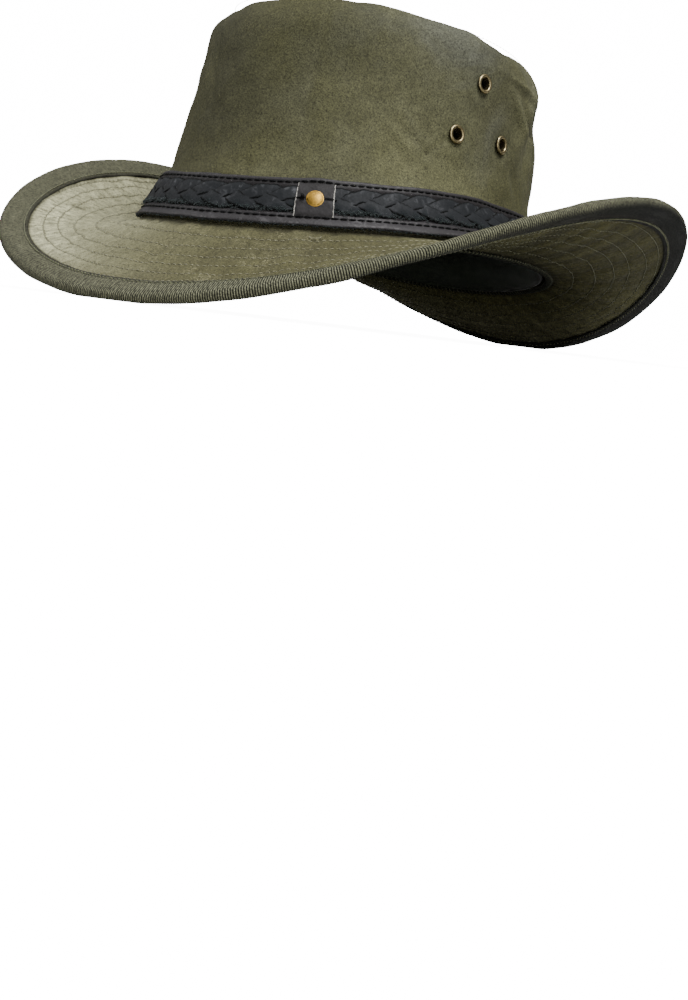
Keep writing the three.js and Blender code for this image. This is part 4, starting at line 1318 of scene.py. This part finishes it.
makeStrap()
makeStrapStitches()
for strip in range(3):
    makePlaitStrip(strip)
makeFuzz()
makeKeeper()
makeKeeperEdge("keeper_raw_edge_left", -1)
makeKeeperEdge("keeper_raw_edge_right", 1)
makeKeeperThread()
makeLooseThread()
makeStud()
for eyeletName, (eyeletPoint, eyeletNormal) in eyeletSeats.items():
    makeEyelet(eyeletName, eyeletPoint, eyeletNormal)
print("band, stud and eyelets made")


# The studio, in metres.
cameraPlace = {
    "direction": 35.62, "distance": 1.0161, "height": 0.005, "lens": 73.47,
    "pan": -0.6, "pitch": 5.1, "roll": 6.92,
}
studioLights = {
    # direction from the hat's front, height, distance, size, power
    "key": (72, 58, 1.5, 0.8, 28),
    "top": (-20, 78, 1.5, 1.1, 4),
    "front fill": (52, 20, 1.9, 1.2, 9),
    "left fill": (-62, 36, 1.7, 1.4, 9),
    "low fill": (44, -2.3, 1.5, 0.1, 2.6),
}
studioRoom = {"floor": 2.6, "bend": 1.8, "top": 4.5, "sides": 96, "glow": 16.0, "sky": 0.28}


def facing(direction, height=0.0):  # the way towards a direction and a height above the level, in degrees
    a, e = np.radians(direction), np.radians(height)
    return np.array([np.sin(a) * np.cos(e), -np.cos(a) * np.cos(e), np.sin(e)])


def placeCamera():
    s = cameraPlace
    camera = bpy.data.objects.new("camera", bpy.data.cameras.new("camera"))
    camera.data.lens = s["lens"]
    camera.data.clip_start = 0.004
    bpy.context.scene.collection.objects.link(camera)
    aim, roll = s["direction"] + s["pan"], np.radians(s["roll"])
    back, right = facing(aim, s["pitch"]), facing(aim + 90)
    up = np.cross(back, right)
    across, rise = np.cos(roll) * right + np.sin(roll) * up, np.cos(roll) * up - np.sin(roll) * right
    place = facing(s["direction"]) * s["distance"] + [0, 0, s["height"]]
    rows = np.stack([across, rise, back, place], axis=1)
    camera.matrix_world = Matrix([*rows.tolist(), [0, 0, 0, 1]])
    bpy.context.scene.camera = camera


def placeLights():
    for name, (direction, height, distance, size, power) in studioLights.items():
        light = bpy.data.lights.new(name, "AREA")
        light.energy, light.size, light.shape = power, size, "DISK"
        lamp = bpy.data.objects.new(name, light)
        way = Vector(facing(direction, height))
        lamp.location = Vector((0, 0, 0.08)) + way * distance
        lamp.rotation_euler = way.to_track_quat("Z", "Y").to_euler()
        bpy.context.scene.collection.objects.link(lamp)
    sky = bpy.data.worlds.new("studio")
    sky.use_nodes = True
    join((1, 1, 1), sky.node_tree.nodes["Background"].inputs["Color"])
    join(studioRoom["sky"], sky.node_tree.nodes["Background"].inputs["Strength"])
    bpy.context.scene.world = sky


def makeStudio():
    # A pale floor that turns up into the backdrop on every side, with no line between them.
    s = studioRoom
    bend = np.linspace(0.08, np.pi / 2, 18)
    reach = np.concatenate([np.linspace(0.02, s["floor"], 20), s["floor"] + s["bend"] * np.sin(bend), [4.4]])
    height = np.concatenate([np.zeros(20), s["bend"] * (1 - np.cos(bend)), [s["top"]]])
    angle = np.arange(s["sides"])[:, None] / s["sides"] * turn
    grid = stack(reach * np.sin(angle), -reach * np.cos(angle), height)[:, ::-1] * 1000
    columns = len(reach)
    room = gridSurface("studio floor", grid, 1, 1, closedAcross=False)
    closeRings(room, range(columns - 1, s["sides"] * columns, columns))
    look, skin, place, surface, mark = newLook("pale studio floor", 0.9, gloss=0.0)
    join(blend(noise(place, 3, 2), (0.48, 0.48, 0.48), (0.5, 0.5, 0.5)), skin["Base Color"])
    # The backdrop is lit for the camera alone, and least under the hat: a painted shadow where the hat's
    # shadow lies.
    flat = scaled(place, (6.2, 5.6, 0))
    away = addNode(place.tree, "ShaderNodeVectorMath", "Value", {0: flat}, operation="LENGTH")
    seen = addNode(place.tree, "ShaderNodeLightPath", "Is Camera Ray")
    join((1, 1, 1), skin["Emission Color"])
    join((between(away, 0.55, 1.5) * 0.2 + 0.8) * seen * s["glow"], skin["Emission Strength"])
    room.data.materials.append(look)


placeCamera()
placeLights()
makeStudio()
print("studio made")
